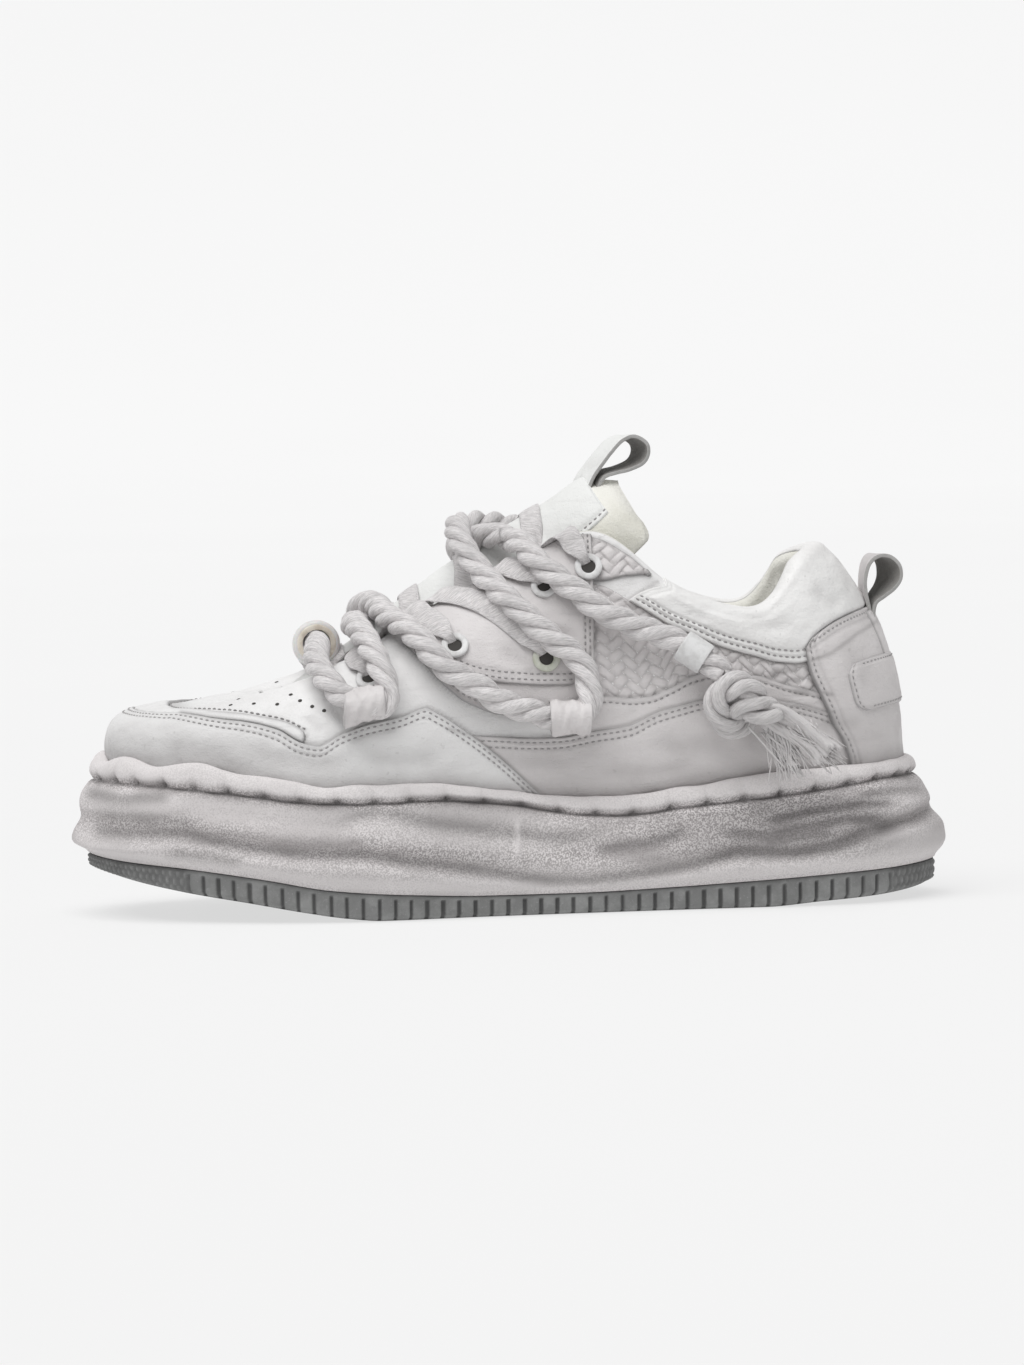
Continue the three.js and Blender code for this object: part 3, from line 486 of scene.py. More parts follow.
PANEL_EDGES = [MUDGUARD_EDGE, COUNTER_EDGE, EYESTAY_EDGE, FACING_EDGE, QUARTER_EDGE, POCKET_EDGE,
               COLLAR_EDGE, STRIP_TOP, STRIP_LOW, [(28, 100), (26, 93), (20, 82)],
               [(39, 109), (55, 118)], TOE_LINE]


def upper_wear_and_shade(x, y, z):
    """How far the worn upper stands from its last, and a darkening mask: dirt in its folds, darker towards
    the sole and the toe, and painted shade along every panel edge.
    """
    outer, outer_dirt = folds(x, z, OUTER_FOLDS)
    inner, inner_dirt = folds(x, z, INNER_FOLDS)
    share = smooth(y, -6, 6)
    height = lerp(outer, inner, share) + 0.35 * ripple(x, y, z, 26, 3) + 0.12 * ripple(x, y, z, 9, 5)
    low = 0.7 * smooth(foot_height(x) + 12 - z, 0, 9) + 0.3 * smooth(foot_height(x) + 40 - z, 0, 34)
    # Painted shade: a dark line along every panel edge, where the raised panel shades the leather beside it.
    seams = 0 * x
    for edge in PANEL_EDGES:
        d, _ = distance_to_line(x, z, edge)
        seams = np.maximum(seams, np.exp(-((d / 0.75) ** 2)))
    toe = 0.28 * smooth(-x, 66, 104) * smooth(73 - z, 0, 12)
    dirt = 0.5 * lerp(outer_dirt, inner_dirt, share) + low + toe + 0.7 * seams
    return height, np.clip(dirt, 0, 1)

# %% [markdown]
# ## Finishes
# Every finish is a small program: noise and cell textures mixed by masks. Shader nodes
# wired by hand soon become unreadable, so a small class lets a socket stand in a sum or a
# product, and a second class makes any other node in one call. What changes over the
# surface only feeds the colour, the roughness and the bump. All else is a plain number.

# %% Shader expressions
class Value:
    """A socket that can stand in an expression."""

    def __init__(self, finish, socket):
        self.finish, self.socket = finish, socket

    def math(self, operation, *values):
        return self.finish.node("Math", {"operation": operation}, self, *values)

    def __add__(self, other):
        return self.math("ADD", other)

    __radd__ = __add__

    def __sub__(self, other):
        return self.math("SUBTRACT", other)

    def __rsub__(self, other):
        return self.finish.node("Math", {"operation": "SUBTRACT"}, other, self)

    def __mul__(self, other):
        return self.math("MULTIPLY", other)

    __rmul__ = __mul__

    def ramp(self, low, high):
        """0 below low and 1 above high, with a soft step between."""
        return self.finish.node("MapRange", {"interpolation_type": "SMOOTHSTEP"}, self, low, high)


class Finish:
    """A material with a Principled shader, built up node by node."""

    def __init__(self, name, roughness=0.8, sheen=0.0, coat=0.0, specular=0.5):
        self.material = bpy.data.materials.new(name)
        self.material.use_nodes = True
        self.tree = self.material.node_tree
        self.shader = self.tree.nodes["Principled BSDF"]
        constants = {"Roughness": roughness, "Sheen Weight": sheen, "Coat Weight": coat,
                     "Specular IOR Level": specular}
        for socket, value in constants.items():
            self.shader.inputs[socket].default_value = value
        self.place = self.node("TexCoord", output="Object")

    def node(self, kind, settings=None, *values, output=0, **named):
        node = self.tree.nodes.new("ShaderNode" + kind)
        for key, value in (settings or {}).items():
            setattr(node, key, value)
        for key, value in [*enumerate(values), *named.items()]:
            self.feed(node.inputs[key], value)
        return Value(self, node.outputs[output])

    def feed(self, socket, value):
        if isinstance(value, Value):
            self.tree.links.new(value.socket, socket)
        else:
            socket.default_value = value

    def set(self, **values):
        for key, value in values.items():
            self.feed(self.shader.inputs[key.replace("_", " ")], value)
        return self

    def attribute(self, name):
        return self.node("Attribute", {"attribute_name": name}, output="Fac")

    def stretched(self, scale, turn=(0, 0, 0)):
        return self.node("Mapping", None, self.place, (0, 0, 0), turn, scale)

    def noise(self, size, detail=3, rough=0.55, place=None):
        """Noise with features of about the given size in millimetres."""
        return self.node("TexNoise", None, place or self.place, output="Fac", Scale=1000 / size,
                         Detail=detail, Roughness=rough)

    def cells(self, size):
        return self.node("TexVoronoi", {"feature": "F1"}, self.place, output="Distance", Scale=1000 / size)

    def mix(self, mask, low, high):
        node = self.tree.nodes.new("ShaderNodeMix")
        node.data_type = "RGBA"
        for key, value in zip((0, 6, 7), (mask, low, high)):
            self.feed(node.inputs[key], value)
        return Value(self, node.outputs[2])

    def bump(self, height, depth):
        """A bump whose full height is the given depth in millimetres."""
        normal = self.node("Bump", None, Height=height, Distance=depth * MM, Strength=1.0)
        return self.set(Normal=normal)


def grey(level, warm=0.0, green=0.0):
    """A near-neutral colour: its level, how warm it is and how green it is."""
    return (level * (1 + warm), level * (1 + green), level * (1 - warm), 1)


# %% [markdown]
# ## Leather
# Coated white leather has a fine pebbled grain, broken by short creases, and it wears in
# layers: the bottoms of folds are grey, and the leather is painted darker towards the sole.
# Cut edges get a darker line, partly their own colour and partly painted shade under the
# raised edge. The masks of dirt and painted shade and of edges are painted per corner.

# %% Leather finishes
def leather(name, clean, worn, grain=0.6, dirt=0.7):
    f = Finish(name, specular=0.4)
    clouds = f.noise(46, 4, 0.6).ramp(0.36, 0.68)
    stains = f.noise(17, 5, 0.68).ramp(0.5, 0.72)
    specks = f.noise(2.6, 2, 0.5).ramp(0.69, 0.74)
    pores = f.cells(grain)
    scuffs = f.noise(2.0, 3, 0.6, place=f.stretched((0.14, 0.5, 1.2), (0, 0.4, 0.2))).ramp(0.60, 0.72)
    grime = f.attribute("grime")
    base = f.mix(clouds * 0.4, clean, worn)
    base = f.mix(stains * 0.12, base, grey(0.42, 0.02, -0.02))
    # This mask darkens real dirt and painted shade alike: shade along panel edges, in seam troughs, between
    # woven strands and in tucked parts.
    base = f.mix(grime * dirt * (0.6 + 0.4 * f.noise(9, 4)), base, grey(0.24, 0.035, -0.03))
    streaks = f.noise(13, 5, 0.65, place=f.stretched((0.22, 0.6, 1.8), (0, 0.08, 0))).ramp(0.5, 0.72)
    base = f.mix(streaks * 0.13, base, grey(0.36, 0.03, -0.02))
    base = f.mix(scuffs * 0.1, base, grey(0.4))
    base = f.mix(specks * 0.2, base, grey(0.28, 0.04))
    # A dark line on cut edges: partly the edge's own colour, partly painted shade under the raised edge.
    base = f.mix(f.attribute("edge") * 0.75, base, grey(0.27))
    f.set(Base_Color=base, Roughness=0.46 + 0.22 * stains + 0.16 * clouds)
    wrinkles = f.noise(5, 4, 0.6, place=f.stretched((1, 1, 1.7)))
    f.bump(pores * 0.16 + wrinkles * 0.85 + f.noise(13, 4, 0.6) * 1.3 + scuffs * -0.1, 0.5)
    return f.material


WHITE_LEATHER = leather("white_leather", grey(0.82, 0.004), grey(0.68, 0.016, -0.012))
GREY_LEATHER = leather("lower_leather", grey(0.69, 0.02, -0.018), grey(0.57, 0.026, -0.024), dirt=0.8)
COLLAR_LEATHER = leather("collar_leather", grey(0.84, 0.008, 0.002), grey(0.74, 0.014, -0.004),
                         grain=1.3, dirt=0.6)
TONGUE_LEATHER = leather("tongue_leather", grey(0.80, 0.004, 0.012), grey(0.70, 0.012, 0.015), dirt=0.5)

# %% [markdown]
# ## Cloth, foam, rubber and cotton
# The lining is brushed cloth gone cream. The sole foam is matt and looks sandy, because
# dust sits in its open cells, so it is speckled at half a millimetre and clouded at
# several centimetres. The cotton finishes run along the yarn by the piece's UV map.

# %% Cloth and foam finishes
def brushed_cloth(name, clean, worn):
    f = Finish(name, roughness=0.95, sheen=0.25, specular=0.15)
    patches = f.noise(20, 4, 0.6).ramp(0.38, 0.66)
    nap = f.noise(0.8, 3, 0.7)
    base = f.mix(patches, clean, worn)
    base = f.mix(f.attribute("grime") * 0.6, base, grey(0.3, 0.04))
    f.set(Base_Color=f.mix(nap * 0.2, base, grey(0.6, 0.04, 0.03)))
    f.bump(nap * 0.7 + f.noise(6, 3) * 0.8, 0.5)
    return f.material


def foam(name):
    f = Finish(name, roughness=0.92, specular=0.22)
    grime = f.attribute("grime")
    pale = f.attribute("pale")
    clouds = f.noise(46, 3, 0.5, place=f.stretched((0.6, 1, 1.4))).ramp(0.38, 0.62)
    streaks = f.noise(30, 4, 0.55, place=f.stretched((0.35, 1, 2.2), (0, 0.12, 0))).ramp(0.45, 0.68)
    grains = f.noise(0.58, 2, 0.5)
    sandy = f.noise(24, 3, 0.55, place=f.stretched((0.6, 1, 1.5))).ramp(0.36, 0.56)
    base = f.mix(clouds, grey(0.32, 0.03, -0.03), grey(0.46, 0.03, -0.03))
    base = f.mix(streaks * 0.35, base, grey(0.27, 0.035, -0.03))
    # The pale mask is partly smoother foam and partly painted light on the heel.
    base = f.mix(pale, base, grey(0.64, 0.022, -0.02))
    # This mask darkens dirt in the folds and painted shade in the groove under the roll.
    base = f.mix(grime * 0.7, base, grey(0.14, 0.03, -0.02))
    light = grains.ramp(0.46, 0.58) * (0.15 + 0.7 * sandy) * (1 - 0.5 * pale) * (1 - 0.8 * grime)
    base = f.mix(light, base, grey(0.80, 0.02, -0.02))
    base = f.mix((1 - grains.ramp(0.32, 0.46)) * 0.28 * (1 - 0.7 * pale), base, grey(0.14, 0.03, -0.02))
    f.set(Base_Color=base)
    f.bump(grains * 0.35 + f.noise(3.5, 3) * 0.9, 0.32)
    return f.material


def tread_rubber(name):
    f = Finish(name, roughness=0.8, specular=0.3)
    dust = f.noise(9, 5, 0.65).ramp(0.4, 0.7)
    base = f.mix(dust * 0.7, grey(0.22, 0.0, 0.01), grey(0.33, 0.0, 0.01))
    base = f.mix(f.noise(0.8, 2).ramp(0.6, 0.75) * 0.4, base, grey(0.4))
    base = f.mix(f.attribute("grime"), base, grey(0.055))
    f.set(Base_Color=base)
    f.bump(f.noise(1.2, 3), 0.2)
    return f.material


LINING = brushed_cloth("lining_cloth", grey(0.86, 0.04, 0.026), grey(0.76, 0.06, 0.045))
FOAM = foam("sole_foam")
RUBBER = tread_rubber("tread_rubber")


def yarn(name, level, pitch, slant, warm=0.016):
    """Twisted cotton: fine parallel fibres that slant along the piece's own UV map."""
    f = Finish(name, roughness=0.93, sheen=0.3, specular=0.15)
    f.place = f.node("TexCoord", output="UV")
    turned = f.node("Mapping", None, f.place, (0, 0, 0), (0, 0, slant), (0.001, 0.001, 0.001))
    fibres = f.noise(pitch, 3, 0.65, place=f.node("Mapping", None, turned, Scale=(0.16, 1, 1)))
    solid = f.node("TexCoord", output="Object")
    fuzz = f.noise(1.6, 4, 0.7, place=solid)
    dirt = f.noise(24, 4, 0.6, place=solid).ramp(0.42, 0.7)
    base = f.mix(fibres.ramp(0.3, 0.7), grey(level * 0.74, warm, -warm), grey(level * 1.12, warm, -warm))
    base = f.mix(dirt * 0.35, base, grey(level * 0.6, warm, -warm))
    base = f.mix(f.attribute("grime"), base, grey(0.22, warm * 2))
    f.set(Base_Color=base)
    f.bump(fibres * 1.1 + fuzz * 0.8, 0.6)
    return f.material


ROPE_COTTON = yarn("rope_cotton", 0.81, 0.5, 0.5)
FLAT_COTTON = yarn("flat_lace_cotton", 0.80, 0.45, 0.9)
THREAD = yarn("sewing_thread", 0.40, 0.3, 0.4)


def plastic(name, clean, worn, roughness, glow=0.0):
    f = Finish(name, coat=0.1, specular=0.5)
    cloud = f.noise(4, 4, 0.6).ramp(0.35, 0.7)
    f.set(Base_Color=f.mix(cloud, clean, worn), Roughness=roughness + 0.2 * cloud)
    f.shader.inputs["Subsurface Weight"].default_value = glow
    f.shader.inputs["Subsurface Scale"].default_value = 2 * MM
    f.bump(f.noise(0.9, 3), 0.12)
    return f.material


RING_PLASTIC = plastic("eyelet_ring_plastic", grey(0.74), grey(0.58, 0.01), 0.45)
GREEN_PLASTIC = plastic("green_ring_plastic", grey(0.62, 0.04, 0.06), grey(0.45, 0.08, 0.12), 0.4)
MILKY_PLASTIC = plastic("milky_plastic", grey(0.72, 0.012), grey(0.62, 0.03), 0.3, 0.1)
TAN_PLASTIC = plastic("tan_plastic", grey(0.70, 0.10, 0.03), grey(0.50, 0.16, 0.02), 0.5)

# %% [markdown]
# ## The laces' routes
# The rope lace is the one part that hangs free, so it comes first. Its route is a list of
# points in millimetres, the same list that the CAD solid follows. A rope is three strands
# laid round each other, so a round tube would look like a pipe. Each strand is its own
# tube that winds round the route once every 29 mm, and the piece keeps the route.

# %% Routes, the same points as the CAD's
ROPE_FIRST = [(26, 34, 125), (12, 26.5, 131.5), (-5, 14, 135.5), (-16, 2, 136), (-18.5, -10, 134),
              (-16.5, -21, 127.5), (-10.2, -30.2, 118.3), (-2.3, -40.5, 109.8), (5.2, -45, 102.4),
              (12.2, -47.3, 96.3), (19.8, -48.8, 90.3), (23.3, -50.2, 83), (23.8, -51.6, 75.3),
              (20.6, -52.6, 69.6), (12.8, -52.7, 69.2), (3.4, -52.2, 71.7), (-7.6, -52.3, 75.7),
              (-15.8, -51.7, 81.5), (-26.1, -50, 87.6), (-32.9, -44.9, 95.3), (-38.8, -37.2, 101.3),
              (-45.5, -22.9, 105.6), (-47, -10, 108), (-49, 1, 108.8), (-51.5, 12, 107.4), (-52, 24, 103.4),
              (-50, 35, 97), (-43.7, 45.3, 87.6), (-41.2, 50.8, 79), (-43.6, 53.4, 73.8),
              (-50, 52.8, 74), (-58.5, 48.5, 79.7), (-65, 44, 83.4), (-69.5, 32, 89.5),
              (-70.5, 20, 93.3), (-69.5, 8, 95)]
ROPE_SECOND = [(-69.5, 8, 95), (-69, -2, 95.3), (-69, -12, 94.8), (-70.3, -24, 92.6), (-70.5, -36, 89),
               (-67, -47, 83.6), (-63, -51, 79.4), (-57, -54.6, 75.6), (-50.6, -56, 75),
               (-47, -54.8, 79.4), (-49.5, -49.4, 88.5), (-53, -38.5, 96.8), (-55.3, -24.5, 101.2),
               (-56.2, -10, 102.3), (-52.5, 1, 101.6), (-48, 11, 103.5), (-45, 20.5, 105.8),
               (-38.6, 34.4, 101.2), (-32.5, 41.5, 95), (-25.6, 45.5, 87), (-15.3, 45.9, 80.8),
               (-7.3, 45.6, 75), (3.5, 45, 71.3), (12.8, 45.6, 69), (20.4, 45.4, 69.4),
               (24.6, 44.8, 74.8), (24.2, 43.9, 82.6), (21, 43.2, 89.4), (13.3, 42.3, 95.5),
               (5.3, 40.7, 101.7), (-2, 38, 109.6), (-10, 29.4, 118.6), (-16, 17.5, 127.2),
               (-15, 3, 128.8), (-8.5, -9, 132.3), (-1.5, -19, 131.8)]
ROPE_FREE = [(-0.8, -20.2, 131.5), (3.2, -27.4, 129.2), (9, -35.9, 122.3), (15.9, -40.3, 116.8),
             (22.5, -42.9, 111.9), (28.8, -44.7, 106.5), (39.2, -45.8, 101.4), (49.7, -46.7, 97.5),
             (57, -48, 93.8), (63.7, -49.4, 89.2), (68.5, -50.5, 85.2), (70.6, -50.9, 82.4)]
LAY = 29.0  # one full turn of a strand
STRAND = 2.32  # a strand's radius
WANDER = 0.25  # how far a strand strays from its helix
TUBE_STEP = 1.3
KNOT = np.array([75.2, -51.5, 73.2])

# %% Tubes along a route
def even_points(route, step):
    """Points of the smooth route about a step apart, and the length run to each."""
    fine = spline(route, np.linspace(0, 1, 60 * len(route)))
    run = np.concatenate([[0], np.cumsum(np.linalg.norm(np.diff(fine, axis=0), axis=1))])
    marks = np.linspace(0, run[-1], max(4, round(run[-1] / step)))
    return np.stack([np.interp(marks, run, fine[:, k]) for k in range(3)], 1), marks


def frames(points):
    """Two directions across the route at each point, carried along without twisting."""
    tangents = unit(np.gradient(points, axis=0))
    side = unit(np.cross(tangents[0], (0.31, 0.2, 1.0)))
    sides = []
    for tangent in tangents:
        side = unit(side - tangent * np.dot(side, tangent))
        sides.append(side)
    sides = np.array(sides)
    return sides, np.cross(tangents, sides)


def tube(points, radius, sides):
    """A closed tube as (points, faces). The radius may change along it."""
    a, b = frames(points)
    angles = np.linspace(0, 2 * math.pi, sides, endpoint=False)
    radius = np.broadcast_to(radius, len(points))[:, None, None]
    rings = (points[:, None] + radius * (np.cos(angles)[None, :, None] * a[:, None]
             + np.sin(angles)[None, :, None] * b[:, None]))
    corners = rings.reshape(-1, 3)
    faces = [(r * sides + i, r * sides + (i + 1) % sides, (r + 1) * sides + (i + 1) % sides,
              (r + 1) * sides + i) for r in range(len(points) - 1) for i in range(sides)]
    caps = [tuple(range(sides))[::-1], tuple(range(len(corners) - sides, len(corners)))]
    return corners, faces + caps


def strands(route, opening, seed):
    """The three strands of a rope as tubes. opening(share) spreads them where it frays."""
    points, run = even_points(route, TUBE_STEP)
    a, b = frames(points)
    share = run / run[-1]
    spread = 1 + (opening(share) if opening else 0 * share)
    shake = np.random.default_rng(seed).uniform(0, 6.28, (3, 2))
    tubes = []
    for k in range(3):
        turn = 2 * math.pi * (k / 3 - run / LAY)
        reach = (STRAND + 0.12) * spread
        line = points + reach[:, None] * (np.cos(turn)[:, None] * a + np.sin(turn)[:, None] * b)
        line = line + WANDER * np.stack([np.sin(run / 7 + shake[k, 0])] * 3, 1) * b * 0.6
        girth = STRAND * (1 + 0.05 * np.sin(run / 5.3 + shake[k, 1]))
        tubes.append(tube(line, girth, 12))
    return tubes, points


def map_tubes(piece, tubes, along_step, girth):
    """Gives joined tubes a UV map in millimetres: x along the strand, y round it."""
    layer = piece.data.uv_layers.new(name="UVMap")
    values = []
    for _, faces in tubes:
        around = len(faces[-1])
        for face in faces:
            ring_of = [index // around for index in face]
            spot = [index % around for index in face]
            wraps = max(spot) - min(spot) > 1
            for r, i in zip(ring_of, spot):
                values.extend((r * along_step, (i + (around if wraps and i == 0 else 0)) * girth / around))
    layer.data.foreach_set("uv", values)


def rope(name, route, seed, opening=None):
    tubes, points = strands(route, opening, seed)
    piece = joined(name, tubes, ROPE_COTTON)
    map_tubes(piece, tubes, TUBE_STEP, 2 * math.pi * STRAND)
    return piece, points


# %% [markdown]
# ## The free end
# Past the last crossing the lace hangs loose over the outer side, through a plain sleeve
# to a stopper knot, and ends in a frayed tassel. The knot is the same three strands led
# through a tight loop.

# %% The rope lace
first_run, _ = rope("rope_run_first", ROPE_FIRST, 3)
second_run, _ = rope("rope_run_second", ROPE_SECOND, 5)
settle(first_run, "lace_cotton", "lace_bars")
settle(second_run, "lace_cotton", "lace_bars")
free_end, free_points = rope("rope_free_end", ROPE_FREE, 7)
settle(free_end, "lace_cotton", "lace_end")

KNOT_ROUTE = [(-5.5, 1.5, 9.5), (-0.5, 4, 6), (5.2, 4.4, -1), (3.0, 3.4, -7), (-3.5, -0.5, -7.5),
              (-7.2, -3.2, -0.8), (-4.6, -5.2, 5.2), (2.2, -5.6, 6.4), (6.2, -3.6, 2.0),
              (3.0, -0.6, -2.8), (-0.4, -1.6, -1.4), (3.6, -5.2, -1.2), (8.6, -5.2, -3.0), (13.5, -4.4, -5.2)]
knot, _ = rope("rope_knot", [KNOT + p for p in KNOT_ROUTE], 11,
               lambda share: 0.10 + 0.5 * smooth(share, 0.86, 1))
# Painted shade: the knot is painted a little darker than the rest of the rope.
paint(knot, "grime", np.full(len(knot.data.vertices), 0.16))
settle(knot, "lace_cotton", "lace_knot")

# %% The frayed tassel
TASSEL_START = KNOT + (11, -4.6, -4.2)
YARNS = 9  # in each untwisted strand


def wisps(count, start, end, spread, girth, seed):
    """Loose yarns from one place to another, as thin wavy tubes."""
    random = np.random.default_rng(seed)
    tubes = []
    for _ in range(count):
        t = np.linspace(0, 1, 12)[:, None]
        begin = np.add(start, random.normal(0, 1.0, 3) * spread[0])
        finish = np.add(end, random.normal(0, 1.0, 3) * spread[1])
        wave = np.sin(t * random.uniform(3, 9) + random.uniform(0, 6)) * random.normal(0, 0.55, 3)
        line = begin + (finish - begin) * t + wave * np.sin(t * math.pi)
        width = girth * random.uniform(0.7, 1.3) * (1 - 0.45 * t[:, 0]**2)
        tubes.append(tube(line, width, 6))
    return tubes


def loose_strand(route, radius, seed):
    """A strand that has come untwisted: its yarns lie side by side and part at the end."""
    points, run = even_points([KNOT + p for p in route], 1.2)
    a, b = frames(points)
    share = run / run[-1]
    random = np.random.default_rng(seed)
    tubes = []
    for k in range(YARNS):
        turn = 2 * math.pi * k / YARNS + 1.1 * share + random.uniform(-0.3, 0.3)
        reach = radius * (0.62 + 0.55 * smooth(share, 0.72, 1)) * random.uniform(0.8, 1.15)
        line = points + (reach * np.cos(turn))[:, None] * a + (0.7 * reach * np.sin(turn))[:, None] * b
        cut = len(line) - random.integers(0, 4)
        girth = 0.50 * radius * (1 - 0.35 * smooth(share, 0.85, 1)) * random.uniform(0.85, 1.15)
        tubes.append(tube(line[:cut], girth[:cut], 8))
    return tubes


def tassel_tubes():
    upper = loose_strand([(8, -4.6, -1.5), (15, -5.2, -2.8), (22, -4.9, -7.5), (29, -4.2, -13.5),
                          (35, -3.6, -18.5)], 2.3, 31)
    lower = loose_strand([(9, -4.2, -5.5), (14, -4.4, -9), (20, -4.0, -12.5), (26, -3.4, -17),
                          (30, -3.0, -22.5)], 2.1, 32)
    middle = loose_strand([(10, -3.2, -4.5), (17, -3.6, -7.5), (25, -3.2, -13), (32, -2.8, -20.5)], 1.9, 33)
    fine = wisps(60, TASSEL_START + (9, 0, -5), KNOT + (34, -3.4, -20.5),
                 ((2.7, 1.2, 1.8), (2.6, 1.2, 2.8)), 0.26, 22)
    fringe = wisps(80, KNOT + (13, -3.4, -9), KNOT + (19, -3.0, -24),
                   ((2.4, 0.8, 1.4), (3.6, 0.9, 2.2)), 0.34, 23)
    return upper + lower + middle + fine + fringe


tassel = joined("rope_tassel", tassel_tubes(), ROPE_COTTON)
# Painted shade: the tassel is painted darker than the rest of the rope.
paint(tassel, "grime", np.full(len(tassel.data.vertices), 0.22))
settle(tassel, "lace_cotton", "lace_tassel")


# %% The sleeve and the bead
def turned(name, axis_from, axis_to, profile, material):
    """A ring turned about an axis: profile gives (radius, place along) for 0 to 1."""
    start, end = np.asarray(axis_from, float), np.asarray(axis_to, float)
    axis = unit(end - start)
    a = unit(np.cross(axis, (0.2, 0.1, 1.0)))
    b = np.cross(axis, a)

    def points_at(s, t):
        radius, place = profile(t)
        turn = 2 * math.pi * s
        return (start + place[:, None] * axis + radius[:, None]
                * (np.cos(turn)[:, None] * a + np.sin(turn)[:, None] * b))

    return band(name, 48, 40, points_at, material)


def rounded_wall(inner, outer, length, corner):
    """The profile of a short tube with rounded lips, as a function of 0 to 1."""
    def profile(t):
        turn = 2 * math.pi * t
        radius = (inner + outer) / 2 + (outer - inner) / 2 * squared(np.cos(turn), corner)
        return radius, length / 2 + length / 2 * squared(np.sin(turn), corner)
    return profile


SLEEVE_ENDS = ((57, -48, 93.8), (65.2, -49.75, 88.2))
sleeve = turned("lace_sleeve_tube", *SLEEVE_ENDS, rounded_wall(4.75, 5.75, 10.1, 0.4), RING_PLASTIC)
settle(sleeve, "bead_plastic", "lace_sleeve")
BEAD = np.array([-69.1, -3, 95.2])
bead = turned("lace_bead_ring", BEAD - (0, 3.5, 0), BEAD + (0, 3.5, -0.4),
              rounded_wall(4.9, 8.5, 7, 0.7), MILKY_PLASTIC)
bead_face = turned("lace_bead_face", BEAD - (0, 3.9, 0), BEAD - (0, 3.1, 0),
                   rounded_wall(4.95, 6.9, 0.9, 0.8), TAN_PLASTIC)
settle(bead, "bead_plastic", "lace_bead")
settle(bead_face, "bead_plastic")

tuple(free_points[0] * MM)
(free_points * MM).tolist()

# %% [markdown]
# ## The sole
# The midsole is a thick foam wall that has gone soft and folded under years of weight. A
# lathe or an extrusion would give an even moulding, so it is one closed band: its columns
# run round the outline and its rows climb a profile from the parting line to the puffy
# bead round the top. Stitches pull the bead in every 13 mm. Each fold is a line of its own.

# %% The outline of the sole
def outline(u, out):
    """Points of the upper's lower edge, moved straight out from the outline."""
    step = 1e-3
    here, ahead, behind = foot_ring(u), foot_ring(np.add(u, step)), foot_ring(np.subtract(u, step))
    way = unit((ahead - behind) * (1, 1, 0))
    return here[..., 0] - out * way[..., 1], here[..., 1] + out * way[..., 0]


def sole_out(k, u):
    return spline(SOLE_RINGS[k], u, closed=True)[..., 0]


def run_round(u):
    """The length run round the sole's outline at each u, in millimetres."""
    fine = np.linspace(0, 1, 2001)
    x, y = outline(fine, 9.0)
    run = np.concatenate([[0], np.cumsum(np.hypot(np.diff(x), np.diff(y)))])
    return np.interp(u, fine, run)


OUTER_SOLE_FOLDS = [
    ([(-156, 31), (-140, 31), (-120, 31.5), (-102, 28), (-79, 24.5), (-57, 24), (-44, 21.5), (-31, 19.5),
      (-11, 16)], 2.6, 2.3, 0.06),
    ([(-20, 17.5), (9, 12.5), (23, 12), (43, 14), (61, 16.5), (75, 20), (96, 19), (110, 21), (121, 25),
      (134, 28), (152, 28)], 2.5, 2.0, 0.06),
    ([(-74, 33), (-51, 39), (-34, 34), (-11, 30), (12, 27), (34, 28)], 2.8, 1.1, 0.2),
    ([(84, 30), (102, 33.5), (121, 35), (136, 34)], 1.5, 1.5, 0.15),
    ([(66, 27), (87, 25.5), (113, 30), (134, 30)], 1.7, 1.3, 0.15),
    ([(-156, 44), (-140, 43), (-122, 45)], 2.4, 1.2, 0.15),
    ([(-154, 38), (-132, 37), (-108, 36)], 3.0, 0.8, 0.25),
    ([(118, 39), (134, 38.5), (150, 37)], 1.6, 1.2, 0.2),
    ([(124, 26), (134, 27.5), (143, 30.5), (153, 32)], 1.9, 1.7, 0.2),
    ([(20, 22), (44, 24), (62, 29)], 2.2, 0.9, 0.25),
    ([(-3, 34), (-2, 28), (-3, 20)], 0.9, -0.6, 0.3),
    ([(84, 23), (100, 25), (112, 26)], 1.3, 0.9, 0.25),
    ([(-128, 25), (-112, 24), (-96, 21)], 2.0, 0.8, 0.25),
]
INNER_SOLE_FOLDS = [
    ([(-154, 31), (-126, 33), (-96, 27), (-60, 24), (-30, 21), (6, 14), (40, 14), (74, 19), (104, 20),
      (128, 27), (152, 28)], 2.6, 2.1, 0.05),
    ([(-70, 35), (-40, 33), (-10, 28), (24, 27)], 2.4, 1.2, 0.2),
    ([(58, 28), (84, 29), (110, 33), (134, 34)], 1.8, 1.3, 0.2),
    ([(-120, 25), (-98, 21), (-76, 18)], 1.8, 0.9, 0.25),
]
STITCH_PITCH = 13.2


